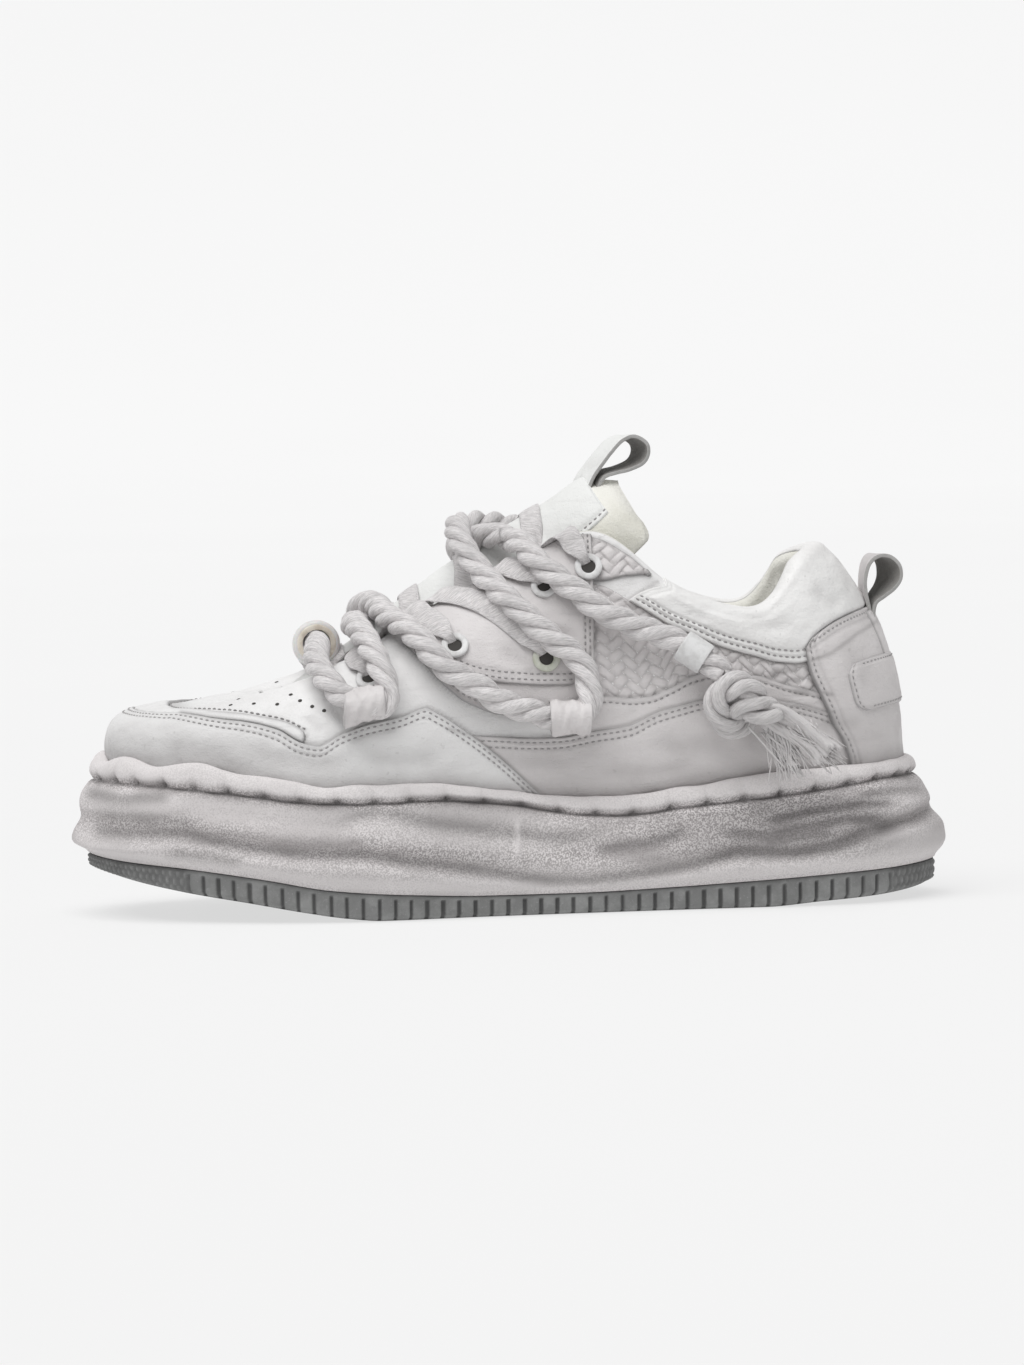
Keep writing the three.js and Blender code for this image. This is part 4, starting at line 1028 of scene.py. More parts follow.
def sole_profile(u, t):
    """Out and height of the midsole's wall for t from the parting line to its top."""
    x = foot_ring(u)[..., 0]
    low, groove, top = along(PARTING, x), along(ROLL_GROOVE, x), along(ROLL_TOP, x)
    rows = [
        (sole_out(0, u) - 1.2, low), (sole_out(0, u) - 0.2, low + 0.4), (sole_out(0, u) + 0.5, low + 1.6),
        (sole_out(1, u) - 0.6, lerp(low, groove, 0.15)), (sole_out(1, u), lerp(low, groove, 0.28)),
        (sole_out(2, u), lerp(low, groove, 0.54)), (sole_out(3, u), lerp(low, groove, 0.8)),
        (sole_out(4, u) + 1.0, groove - 0.9), (sole_out(4, u) - 0.9, groove),
        (sole_out(5, u) - 0.3, groove + 1.1), (sole_out(5, u) + 0.5, lerp(groove, top, 0.4)),
        (sole_out(5, u) - 0.3, lerp(groove, top, 0.75)), (sole_out(6, u) + 1.7, top - 0.3),
        (sole_out(6, u) - 0.3, top), (sole_out(6, u) - 1.2, top - 1.2),
        (WALL + 0.4 + 0 * u, foot_height(x) + 1.0), (WALL - 1.5 + 0 * u, foot_height(x) - 0.6),
    ]
    knots = np.array([0, 1, 2.4, 5.5, 8.5, 15, 21.5, 26.3, 28, 30, 33, 36, 38.6, 40.4, 42, 46, 49])
    knots = knots / knots[-1]
    out = np.array([row[0] for row in rows])
    height = np.array([row[1] for row in rows])
    both = spline_each(np.stack([out, height], -1), t, knots)
    return both[:, 0], both[:, 1], groove


def midsole_surface(u, t):
    out, z, groove = sole_profile(u, t)
    x, y = outline(u, out)
    body = smooth(t, 0.02, 0.1) * (1 - smooth(t, 0.47, 0.55))
    heel_bulge = 1.3 * np.exp(-(((z - 26.5) / 3.2) ** 2)) * smooth(x, 118, 142)
    toe_bulge = 1.6 * np.exp(-(((z - 25) / 4.5) ** 2)) - 1.4 * np.exp(-(((z - 35) / 3) ** 2))
    toe_bulge = toe_bulge * smooth(-x, 118, 140)
    roll = smooth(t, 0.55, 0.62) * (1 - smooth(t, 0.84, 0.92))
    outer, outer_dirt = folds(x, z, OUTER_SOLE_FOLDS)
    inner, inner_dirt = folds(x, z, INNER_SOLE_FOLDS)
    share = smooth(y, -8, 8)
    pull = np.abs(np.sin(math.pi * run_round(u) / STITCH_PITCH)) ** 0.45
    low_roll = np.exp(-(((t - 0.61) / 0.05) ** 2))
    swell = lerp(outer, inner, share) + 0.8 * ripple(x, y, z, 38, 8) + 0.22 * ripple(x, y, z, 13, 9)
    swell = swell + heel_bulge + toe_bulge
    puff = -2.6 * (1 - pull) * low_roll + 0.9 * (pull - 0.6) + 0.5 * ripple(x, y, 0 * z, 16, 4)
    out = out + body * swell + roll * puff
    toe_waves = smooth(-x, 50, 90) * 1.3 * np.sin(run_round(u) / 5.6) + 0.35 * ripple(x, y, 0 * z, 21, 6)
    z = z + smooth(t, 0.62, 0.8) * (1 - smooth(t, 0.88, 1)) * toe_waves
    x, y = outline(u, out)
    dirt = 0.7 * body * lerp(outer_dirt, inner_dirt, share)
    # Painted shade: a dark line in the recess under the roll, darkest in the stitch pinches.
    dirt = dirt + (0.45 + 0.6 * (1 - pull)) * np.exp(-(((z - groove) / 0.7) ** 2))
    dirt = dirt + 1.1 * (1 - pull) * low_roll
    dirt = dirt + 0.55 * body * smooth(x, 10, 70) * smooth(z, 15, 22) * (1 - smooth(z, 38, 44))
    # Painted light: less darkening on the heel, which lies in shade below its bulge.
    dirt = dirt * (1 - 0.6 * smooth(x, 118, 140) * body)
    lip = 1 - smooth(t, 0.07, 0.17)
    crest = along(np.array(OUTER_SOLE_FOLDS[0][0], float), x) + 3
    upper_band = body * smooth(z, crest, crest + 7) * (1 - smooth(x, -10, 50))
    low_band = body * (1 - smooth(t, 0.16, 0.3))
    pale = roll * smooth(z, groove + 1.0, groove + 3) + 0.75 * lip + 0.6 * upper_band + 0.5 * low_band
    # Painted light: the heel is painted paler against the shade below its bulge.
    pale = pale + 0.55 * body * smooth(x, 116, 138)
    scratch = np.exp(-(((x + 2.5) / 1.3) ** 2)) * smooth(z, 19, 24) * (1 - smooth(z, 32, 36)) * (1 - share)
    return np.stack([x, y, z], 1), np.clip(dirt, 0, 1), np.clip(pale + 0.5 * scratch, 0, 1)


def close_holes(piece):
    activate(piece)
    bpy.ops.object.mode_set(mode="EDIT")
    bpy.ops.mesh.select_all(action="SELECT")
    bpy.ops.mesh.fill_holes(sides=0)
    bpy.ops.mesh.normals_make_consistent(inside=False)
    bpy.ops.object.mode_set(mode="OBJECT")


def solid_band(name, columns, rows, surface, material, *masks):
    """A closed band whose surface also gives the values of its painted masks."""
    piece = band(name, columns, rows, lambda s, t: surface(1 - s, t)[0], material,
                 **{mask: lambda s, t, k=k: surface(1 - s, t)[k] for k, mask in enumerate(masks, 1)})
    close_holes(piece)
    return piece


midsole = solid_band("sole_midsole", 900, 84, midsole_surface, FOAM, "grime", "pale")
settle(midsole, "sole_foam", "midsole")

# %% [markdown]
# ## The tread
# The outsole is a harder rubber tray under the foam. Its wall has upright grooves about
# every 6 mm, and small knurls at the toe and heel where it is rolled up. The lugs below
# are parted by channels across the forefoot and heel.

# %% The outsole
GROOVE_PITCH = 5.8
CHANNELS = [-108, -92, -76, -60, -44, -28, 44, 58, 72, 86, 100]
WALL_SHARE = 0.42


def tread_depth(x, y):
    """How deep the tread's channels cut into the underside."""
    cut = np.zeros(np.shape(x))
    for place in CHANNELS:
        zigzag = 1.4 * np.abs((y / 7) % 2 - 1)
        cut = np.maximum(cut, smooth(1.9 - np.abs(x - place - zigzag + 0.7), 0, 0.6))
    cut = cut * smooth(39 - np.abs(y + 1), 0, 2)
    hollow = smooth(21 - np.abs(x - 8), 0, 4) * smooth(24 - np.abs(y + 1), 0, 4)
    return 2.1 * np.maximum(cut, hollow)


def outsole_surface(u, t):
    """t runs from the middle of the underside over the wall to its hidden inner lip."""
    x0 = foot_ring(u)[..., 0]
    top = sole_out(0, u) - 0.9
    wall = np.clip((t - (1 - WALL_SHARE)) / (WALL_SHARE - 0.04), 0, 1)
    low, high = along(SOLE_BOTTOM, x0), along(PARTING, x0) - 0.15
    out = top - 2.6 + 2.4 * smooth(wall, 0, 0.28) ** 0.7 + 0.3 * wall
    z = lerp(low, high, np.clip(wall, 0, 1) ** 1.1)
    run = run_round(u)
    phase = np.abs(run / GROOVE_PITCH % 1 - 0.5) * GROOVE_PITCH
    ends = np.maximum(smooth(-x0, 112, 116), smooth(x0, 122, 126))
    slot = smooth(0.75 - phase, 0, 0.22) * smooth(wall, 0.02, 0.06) * smooth(0.86 - wall, 0, 0.06)
    slot = slot * (1 - ends)
    knurl = np.maximum(0, np.sin(run * 2.1) * np.sin(wall * 9.4)) ** 0.6
    knurl = knurl * ends * smooth(wall, 0.1, 0.2) * smooth(0.95 - wall, 0, 0.1)
    out = out - 0.85 * slot + 0.8 * knurl
    x, y = outline(u, out)
    share = smooth(t / (1 - WALL_SHARE), 0, 1) * 0.5 + 0.5 * np.clip(t / (1 - WALL_SHARE), 0, 1)
    under = t < 1 - WALL_SHARE
    middle_x, middle_y = np.clip(x, -112, 112), np.where(x < -80, 2.0, -1.0)
    x = np.where(under, lerp(middle_x, x, share), x)
    y = np.where(under, lerp(middle_y, y, share), y)
    z = np.where(under, along(SOLE_BOTTOM, x) + tread_depth(x, y) * smooth(1 - share, 0, 0.02), z)
    lip = smooth(t, 0.975, 1.0)
    x2, y2 = outline(u, out - 5 * lip)
    dirt = 0.8 * slot + 0.35 * ends * (1 - knurl) * smooth(wall, 0.05, 0.1)
    dirt = dirt + 0.6 * (1 - smooth(wall, 0.0, 0.1)) * ~under + 0.35 * smooth(wall, 0.85, 1)
    return np.stack([np.where(under, x, x2), np.where(under, y, y2), z], 1), np.clip(dirt, 0, 1)


outsole = solid_band("sole_outsole", 1500, 46, outsole_surface, RUBBER, "grime")
settle(outsole, "outsole_rubber", "outsole")


# %% [markdown]
# ## The footbed
# The insole is a thin foam pad in brushed cloth. It dips where the heel and ball press.

# %% The insole
def insole_surface(u, t):
    """t runs from the middle over the edge and down the side."""
    side = np.clip((t - 0.86) / 0.14, 0, 1)
    share = np.clip(t / 0.86, 0, 1)
    out = -3.7 - 1.0 * (1 - smooth(side, 0, 0.5)) * smooth(share, 0.9, 1)
    x, y = outline(u, out)
    share = np.maximum(share, 0.012)
    x = lerp(np.clip(x, -100, 98), x, share)
    y = lerp(0.5 - 1.5 * smooth(x, -90, -50), y, share)
    press = 1.6 * np.exp(-((x - 92) / 26) ** 2 - (y / 18) ** 2)
    press = press + 1.4 * np.exp(-((x + 52) / 30) ** 2 - (y / 26) ** 2)
    rim = 1.4 * smooth(share, 0.86, 0.98)
    z = foot_height(x) + 4.3 + rim - press + 0.15 * ripple(x, y, 0 * x, 14, 2) - side * 4.6
    return np.stack([x, y, z], 1), np.clip(press / 2.2, 0, 1)


insole = solid_band("footbed_insole", 300, 44, insole_surface, LINING, "grime")
settle(insole, "lining_cloth", "insole")

# %% [markdown]
# ## The upper
# The upper is one hollow shell: leather outside, foam in the collar and lining inside. It
# is a closed band whose rows climb the outside of the last, roll over the rim and go back
# down inside. Every panel sewn on it uses the same last and the same folds, so a crease
# runs on from one panel to the next, as it does on a shoe that has been walked in.

# %% The shell
RIM_STARTS, RIM_ENDS = 0.72, 0.80


def from_heel(u):
    u = np.mod(u, 1)
    return np.minimum(u, 1 - u)


def wall_at(u, v):
    padding = 1 - smooth(18 * from_heel(u), 3.0, 4.1)
    return WALL + COLLAR_PAD * padding * smooth(v, 0.58, 0.86)


def rim_point(u, turn, outer=0.0):
    """The rounded rim of the opening: turn is 0 outside and pi inside."""
    thick = wall_at(u, np.ones_like(u)) + outer
    climb = unit(last_point(u, 1.0) - last_point(u, 0.98))
    out = outer - thick / 2 + thick / 2 * np.cos(turn)
    return (last_point(u, 1.0) + last_normal(u, np.ones_like(u)) * out[:, None]
            + climb * (0.4 * thick * np.sin(turn))[:, None])


def shell_point(u, t):
    """t climbs the outside, passes the rim and goes down the inside."""
    outside, inside = RIM_STARTS, RIM_ENDS
    climb = np.clip(t / outside, 0, 1)
    turn = math.pi * np.clip((t - outside) / (inside - outside), 0, 1)
    sink = 1 - np.clip((t - inside) / (1 - inside), 0, 1)
    v = np.where(t <= outside, climb, sink)
    base = last_point(u, v)
    wear, _ = upper_wear_and_shade(*base.T)
    fade = smooth(climb, 0, 0.05) * (1 - smooth(v, 0.93, 1.0))
    out = np.where(t <= outside, wear * fade, -wall_at(u, v))
    points = skin(u, v, out)
    rim = rim_point(u, turn)
    on_rim = (t > outside) & (t < inside)
    return np.where(on_rim[:, None], rim, points), base


def shell_dirt_and_shade(u, t):
    _, base = shell_point(u, t)
    return upper_wear_and_shade(*base.T)[1] * (t < RIM_STARTS)


shell = band("upper_shell", 640, 104, lambda s, t: shell_point(1 - s, t)[0], WHITE_LEATHER,
             grime=lambda s, t: shell_dirt_and_shade(1 - s, t))
settle(shell, "upper_leather", "upper")

# %% [markdown]
# ## Panels
# A panel is described by two curves between which it lies and by the thickness of its
# leather. Its corners are crowded near the cut edges, which are rounded, and a shallow
# trough is pressed in where a seam runs. The trough and the low parts of a woven relief
# are painted darker as painted shade. A Solidify modifier then gives it a back.

# %% Making a panel
NEAR_EDGE = (0.0, 0.3, 0.8, 1.5)


def crowded(share, length, cells):
    """Moves evenly spaced corners so that three rows lie close to each cut edge."""
    k = np.rint(share * cells)
    start = np.interp(k, range(4), NEAR_EDGE)
    end = length - np.interp(cells - k, range(4), NEAR_EDGE)
    middle = NEAR_EDGE[3] + (k - 3) / (cells - 6) * (length - 2 * NEAR_EDGE[3])
    return np.where(k <= 3, start, np.where(k >= cells - 3, end, middle)) / length


class Panel:
    """A leather panel on the last, between the sides of a patch place(s, t) -> (u, v)."""

    def __init__(self, place, low, thick, seams=(), relief=None):
        self.place, self.low, self.thick, self.seams, self.relief = place, low, thick, seams, relief
        s, t = np.meshgrid(np.linspace(0, 1, 61), np.linspace(0, 1, 21), indexing="ij")
        net = last_point(*place(s, t))
        self.knots = s[:, 0], t[0]
        self.heights = np.linalg.norm(np.diff(net, axis=1), axis=2).sum(1)
        self.lengths = np.linalg.norm(np.diff(net, axis=0), axis=2).sum(0)

    def sizes(self, s, t):
        return np.interp(t, self.knots[1], self.lengths), np.interp(s, self.knots[0], self.heights)

    def edges(self, s, t):
        """Distances in millimetres from the start, end, bottom and top edges."""
        length, height = self.sizes(s, t)
        return {"start": s * length, "end": (1 - s) * length, "bottom": t * height, "top": (1 - t) * height}

    def surface(self, s, t):
        u, v = self.place(s, t)
        base = last_point(u, v)
        wear, dirt = upper_wear_and_shade(*base.T)
        edges = self.edges(s, t)
        d = np.minimum.reduce(list(edges.values()))
        round_off = 1 - np.sqrt(np.clip(1 - (1 - np.clip(d / (0.9 * self.thick), 0, 1)) ** 2, 0, 1))
        out = self.low + self.thick * (1 - round_off) - (d < 0.01) * (self.low + 0.7) + wear
        for edge, distance in self.seams:
            trough = np.exp(-(((edges[edge] - distance) / 0.7) ** 2))
            out = out - 0.38 * trough
            # Painted shade: the seam's trough is painted darker.
            dirt = dirt + 0.28 * trough
        if self.relief:
            length, height = self.sizes(s, t)
            strand = self.relief(s * length, t * height)
            out = out + (1.0 * strand - 0.3) * smooth(d, 0.2, 1.2)
            # Painted shade: the low parts between the woven strands are painted darker.
            dirt = dirt + 0.75 * (1 - strand) ** 1.5
        points = base + last_normal(u, v) * out[:, None]
        return points, np.clip(dirt, 0, 1), np.exp(-((d / 0.55) ** 2)) * (d < 1.2)

    def make(self, name, columns, rows, material, slot, *nodes, backing=0.5):
        piece, s, t = grid(name, columns, rows)
        length, _ = self.sizes(s, np.full_like(s, 0.5))
        s = crowded(s, length.mean(), columns)
        t = crowded(t, np.interp(s, self.knots[0], self.heights), rows)
        points, dirt, edge = self.surface(s, t)
        place_corners(piece, points)
        paint(piece, "grime", dirt)
        # The edge mask paints a dark line on the cut edge, partly painted shade under the raised edge.
        paint(piece, "edge", edge)
        scale_uv(piece, length.mean(), self.heights.mean())
        outward = np.sum(last_normal(*self.place(np.array([0.5]), np.array([0.5])))[0]
                         * np.array(piece.data.polygons[len(piece.data.polygons) // 2 + columns // 2].normal))
        if outward < 0:
            piece.data.flip_normals()
        apply_modifier(piece, "SOLIDIFY", thickness=backing * MM, offset=-1.0)
        finish_mesh(piece, material, merge=False, outward=False)
        return settle(piece, slot, *nodes)


# %% [markdown]
# ## Stitches
# A seam reads as sewn only when single stitches show. One stitch is a small pill, sunk at
# both ends. It is copied along a line on the surface, and all stitches of a seam are one
# joined mesh.

# %% Stitches
STITCHES = []


def sew(points, normals, pitch=2.3, length=1.6, girth=0.33, lift=0.12):
    """Adds a row of stitches along a line of surface points."""
    run = np.concatenate([[0], np.cumsum(np.linalg.norm(np.diff(points, axis=0), axis=1))])
    for mark in np.arange(pitch / 2, run[-1], pitch):
        t = np.linspace(mark - length / 2, mark + length / 2, 5)
        line = np.stack([np.interp(t, run, points[:, k]) for k in range(3)], 1)
        up = unit(np.array([np.interp(mark, run, normals[:, k]) for k in range(3)]))
        line = line + up * np.array([-0.4, 0.0, lift, 0.0, -0.4])[:, None]
        STITCHES.append(tube(line, girth * np.array([0.5, 0.95, 1.0, 0.95, 0.5]), 6))


def sew_panel(panel, edge, distance, start=0.0, end=1.0, **kwargs):
    """Sews along an edge of a panel, the given distance inside it."""
    t = np.linspace(start, end, 400)
    if edge in ("top", "bottom"):
        inset = distance / np.interp(t, panel.knots[0], panel.heights)
        s, t = t, (1 - inset if edge == "top" else inset)
    else:
        inset = distance / np.interp(t, panel.knots[1], panel.lengths)
        s = 1 - inset if edge == "end" else inset
    points = panel.surface(s, t)[0]
    sew(points, last_normal(*panel.place(s, t)), **kwargs)


def sew_line(rows, out, side=-1, **kwargs):
    """Sews along points of the side view, on the upper itself."""
    uv = spline(locate_all(rows), np.linspace(0, 1, 300))
    u, v = mirrored(uv[:, 0], side), uv[:, 1]
    wear, _ = upper_wear_and_shade(*last_point(u, v).T)
    sew(skin(u, v, wear + out), last_normal(u, v), **kwargs)


# %% Patches between edges
def edge_of(rows):
    """An edge's height on the last, as a function of u on either side."""
    found = locate_all(rows)
    found = found[np.argsort(found[:, 0])]
    keep = np.concatenate([[True], np.diff(found[:, 0]) > 1e-4])
    return lambda u: along(found[keep], from_heel(u))


def between_edges(low, high, first, last, side):
    """A patch between two edges, from u = first to u = last on one side."""
    return lambda s, t: (lambda u: (mirrored(u, side), lerp(low(u), high(u), t)))(lerp(first, last, s))


# %% [markdown]
# ## The panels of this shoe
# Low panels go first: the quarter along the sole, the plaited side, the collar.
# The mudguard, the eyestays and the heel counter lie over them, and the patch on top.

# %% Quarters and woven sides
def constant(value):
    return lambda u: np.full(np.shape(u), value)


def weave(x, y):
    """A two-by-two twill of slanting strands 3 mm wide, as a height from 0 to 1."""
    a, b = (x + y) / 4.4, (x - y) / 4.4
    turn = np.mod(np.floor(a) + np.floor(b), 4)
    over = turn < 2
    across = np.where(over, a, b) % 1
    float_share = np.where(over, turn + b % 1, turn - 2 + a % 1) / 2
    crown = np.clip(1 - (1.96 * across - 0.98) ** 4, 0, 1) ** 0.6
    return crown * (0.25 + 0.75 * np.sin(math.pi * float_share) ** 0.7)


quarter_edge, pocket_edge, collar_edge = edge_of(QUARTER_EDGE), edge_of(POCKET_EDGE), edge_of(COLLAR_EDGE)
strip_low, strip_top = edge_of(STRIP_LOW), edge_of(STRIP_TOP)
U_STRIP = (locate(48, 118)[0], locate(24, 122)[0])
U_QUARTER = (locate(118, 60)[0], locate(-30, 64)[0])
U_POCKET = (locate(113, 80)[0], locate(22, 80)[0])
for side, word in ((-1, "outer"), (1, "inner")):
    woven = Panel(between_edges(lambda u: pocket_edge(u) - 0.03, lambda u: collar_edge(u) + 0.01,
                                *U_POCKET, side), -0.5, 0.5, (), weave)
    woven.make(f"woven_side_{word}", 250, 90, GREY_LEATHER, "upper_leather")
    strip = Panel(between_edges(strip_low, strip_top, *U_STRIP, side), 0.2, 0.6, (), weave)
    strip.make(f"woven_top_{word}", 90, 60, GREY_LEATHER, "upper_leather")
    border = Panel(between_edges(lambda u: quarter_edge(u) - 0.03, pocket_edge, *U_POCKET, side), -0.2, 0.9,
                   (("top", 2.6),))
    border.make(f"side_border_{word}", 130, 26, GREY_LEATHER, "upper_leather")
    sew_panel(border, "top", 2.6, girth=0.3)
    quarter = Panel(between_edges(constant(0.015), quarter_edge, *U_QUARTER, side), 0.0, 1.1,
                    (("top", 2.0), ("top", 4.2)))
    quarter.make(f"quarter_{word}", 220, 40, GREY_LEATHER, "upper_leather")
    for distance in (2.0, 4.2):
        sew_panel(quarter, "top", distance)

# %% Mudguard
mudguard_edge = edge_of(MUDGUARD_EDGE)
U_GUARD = locate(*MUDGUARD_EDGE[0])[0]


def guard_place(s, t):
    u = lerp(U_GUARD, 1 - U_GUARD, s)
    return u, lerp(0.012, np.maximum(mudguard_edge(u), 0.03), t)


mudguard = Panel(guard_place, 0.6, 1.3, (("top", 1.9), ("top", 4.0)))
mudguard.make("toe_mudguard_leather", 420, 34, WHITE_LEATHER, "upper_leather", "toe_mudguard")
for distance in (1.9, 4.0):
    sew_panel(mudguard, "top", distance)
toe_edge = edge_of(TOE_LINE)
U_TOE = locate(-76, 64)[0]


def piping_place(s, t):
    """The rolled edge of the toe box, just above the mudguard."""
    u = lerp(U_TOE, 1 - U_TOE, s)
    low = mudguard_edge(u)
    return u, lerp(low - 0.004, np.maximum(toe_edge(u), low + 0.012), t)


piping = Panel(piping_place, 0.2, 1.3)
piping.make("toe_box_piping", 300, 14, WHITE_LEATHER, "upper_leather")
for side in (-1, 1):
    sew_line([(x, z + 1.0) for x, z in TOE_LINE[:-1]], 0.1, side)

# %% Eyestays
eyestay_edge, facing_edge = edge_of(EYESTAY_EDGE), edge_of(FACING_EDGE)
U_FACING = (locate(27, 92)[0], locate(-35, 94)[0])
U_STAY = (locate(*EYESTAY_EDGE[-1])[0], locate(*EYESTAY_EDGE[0])[0])
for side, word in ((-1, "lateral"), (1, "medial")):
    eyestay = Panel(between_edges(eyestay_edge, constant(0.985), *U_STAY, side), 0.6, 1.0, (("bottom", 1.8),))
    eyestay.make(f"eyestay_{word}_leather", 150, 60, GREY_LEATHER, "upper_leather", f"eyestay_{word}")
    sew_panel(eyestay, "bottom", 1.8)
    facing = Panel(between_edges(facing_edge, constant(0.988), *U_FACING, side), 1.3, 1.3,
                   (("bottom", 1.8), ("bottom", 3.6), ("start", 1.8), ("start", 3.6)))
    facing.make(f"facing_{word}_leather", 150, 50, GREY_LEATHER, "upper_leather")
    for distance in (1.8, 3.6):
        sew_panel(facing, "start", distance)
        sew_panel(facing, "bottom", distance, 0.0, 0.8)

# %% [markdown]
# ## Collar and heel
# The collar is a foam roll under soft leather, so it is a padded piece that swells between
# its seam and its rim. The cloth lining starts at the rim and goes down to the footbed.

# %% Collar
COUNTER = locate_all(COUNTER_EDGE)[:, ::-1]
COUNTER_TOP = COUNTER[-1][0]
U_COLLAR = (locate(*COLLAR_EDGE[0])[0], locate(*COLLAR_FRONT)[0])
COLLAR_SEAMS = (2.2, 4.4)  # how far the two seams lie inside the collar's edge


def collar_surface(s, t):
    """t climbs from the seam to the rim and rolls over it to the lining."""
    climb = np.clip(t / 0.8, 0, 1)
    front = lerp(U_COLLAR[0], U_COLLAR[1], climb)
    u = lerp(front, -front, s)
    low = collar_edge(u)
    v = lerp(low, 1.0, climb)
    base = last_point(u, v)
    wear, dirt = upper_wear_and_shade(*base.T)
    d = climb * np.linalg.norm(last_point(u, 1.0) - last_point(u, low), axis=1)
    ends = np.minimum(s, 1 - s) * 330
    edge = np.minimum(d, ends)
    swell = 1.5 + 1.5 * np.sqrt(smooth(edge, 0, 12)) * (1 - 0.45 * smooth(climb, 0.8, 1))
    swell = swell - 2.3 * (edge < 0.05)
    for distance in COLLAR_SEAMS:
        swell = swell - 0.45 * np.exp(-(((edge - distance) / 0.7) ** 2))
    under = smooth(along(COUNTER, v) - from_heel(u), -0.004, 0.006) * smooth(COUNTER_TOP - v, -0.012, 0.012)
    swell = lerp(swell, 0.9, under)
    outside = base + last_normal(u, v) * (swell + wear)[:, None]
    turn = math.pi * np.clip((t - 0.8) / 0.2, 0, 1) * 0.62
    over = rim_point(u, turn, swell + wear)
    return np.where((t > 0.8)[:, None], over, outside), dirt, u, v


def collar_grid(s, t):
    near = np.clip(t / 0.8, 0, 1)
    return collar_surface(s, np.where(t < 0.8, 0.8 * near ** 1.15, t))


collar = band("collar_padding", 420, 56, lambda s, t: collar_grid(s, t)[0], COLLAR_LEATHER,
              grime=lambda s, t: 0.7 * collar_grid(s, t)[1])
apply_modifier(collar, "SOLIDIFY", thickness=0.6 * MM, offset=-1.0)
settle(collar, "upper_leather")
for distance in COLLAR_SEAMS:
    s = np.linspace(0.004, 0.996, 900)
    low_u = lerp(U_COLLAR[0], -U_COLLAR[0], s)
    reach = np.linalg.norm(last_point(low_u, 1.0) - last_point(low_u, collar_edge(low_u)), axis=1)
    points, _, u, v = collar_surface(s, 0.8 * distance / reach)
    sew(points, last_normal(u, v))


# %% Lining
def lining_surface(s, t):
    """From the rim, where it stands a little proud, down the inside of the wall."""
    front = 0.292
    u = lerp(front, -front, s)
    turn = math.pi * lerp(0.55, 1.0, np.clip(t / 0.18, 0, 1))
    sink = np.clip((t - 0.18) / 0.82, 0, 1)
    v = lerp(1.0, 0.04, sink)
    wrinkle = 0.45 * ripple(*last_point(u, v).T, 15, 12)
    pad = 4.5 * np.exp(-((from_heel(u) / 0.1) ** 2)) * smooth(sink, 0, 0.1) * (1 - smooth(sink, 0.15, 0.5))
    pad = pad - 1.2 * np.exp(-(((from_heel(u) - 0.035 - 0.15 * sink) / 0.006) ** 2)) * smooth(sink, 0, 0.1)
    inside = skin(u, v, -wall_at(u, v) - 0.35 - pad - np.abs(wrinkle) * smooth(sink, 0, 0.1))
    rim = rim_point(u, turn, 0.5 + 0 * u)
    mix = smooth(t, 0.14, 0.22)[:, None]
    return rim * (1 - mix) + inside * mix


lining = band("collar_lining", 260, 46, lining_surface, LINING,
              grime=lambda s, t: 0.6 * smooth(t, 0.45, 1))
apply_modifier(lining, "SOLIDIFY", thickness=0.3 * MM, offset=-1.0)
settle(lining, "lining_cloth")

# %% Heel counter, back strap and patch


def counter_place(s, t):
    v = lerp(0.012, COUNTER_TOP, t)
    front = along(COUNTER, v)
    return lerp(-front, front, s), v


COUNTER_SIDES = ("start", "end", "top")
counter = Panel(counter_place, 1.6, 1.5,
                [(edge, distance) for distance in (1.9, 4.0) for edge in COUNTER_SIDES])
counter.make("heel_counter_leather", 150, 80, GREY_LEATHER, "upper_leather", "heel_counter")
for edge in COUNTER_SIDES:
    sew_panel(counter, edge, 1.9)
V_STRAP = (locate(130, 84)[1], locate(127, 101.5)[1])
back_strap = Panel(lambda s, t: (lerp(-0.021, 0.021, s), lerp(*V_STRAP, t)), 2.6, 1.3)
back_strap.make("heel_back_strap", 40, 40, GREY_LEATHER, "loop_tape")
U_PATCH = locate(115.8, 78)[0]
V_PATCH = (locate(128, 68)[1], locate(128, 86)[1])


def patch_place(s, t):
    """A patch with rounded corners: its ends are drawn in near the top and bottom."""
    reach = U_PATCH * (1 - 0.16 * np.abs(2 * t - 1) ** 5)
    return lerp(-reach, reach, s), lerp(*V_PATCH, t)


PATCH_SIDES = ("start", "end", "top", "bottom")
patch = Panel(patch_place, 2.8, 1.7, [(edge, 1.5) for edge in PATCH_SIDES])
patch.make("heel_patch_leather", 90, 40, GREY_LEATHER, "upper_leather", "heel_patch")
for edge in PATCH_SIDES:
    sew_panel(patch, edge, 1.6, 0.08, 0.92, girth=0.28)

# %% [markdown]
# ## The tongue
# The tongue is a foam pillow in cream lining with a leather face sewn on its front. A
# pillow is a closed section that is wide and flat: the band goes round it and climbs from
# the hidden lower end to the top, where it is drawn shut. The leather face is bare.

# %% The tongue's front, the same rows as the CAD's
TONGUE = [
    ((-84, 75), (-84, 9, 74.3), (-81, 17, 70.5), 3), ((-67, 87), (-66, 7.5, 83), (-63, 18, 77), 4.5),
    ((-56, 95), (-55, 11, 88.5), (-52, 23, 80), 6), ((-39, 108.5), (-39, 13, 97), (-35, 26, 85), 7),
    ((-6, 130.5), (-5, 15.5, 114), (0, 27, 98), 8), ((14, 142), (15, 18.5, 124.5), (21, 27, 107), 9),
    ((25, 149.3), (29, 20, 135.5), (38, 23, 120), 12),
    ((29, 151), (35, 18.5, 141), (47, 20.5, 128), 12),
]


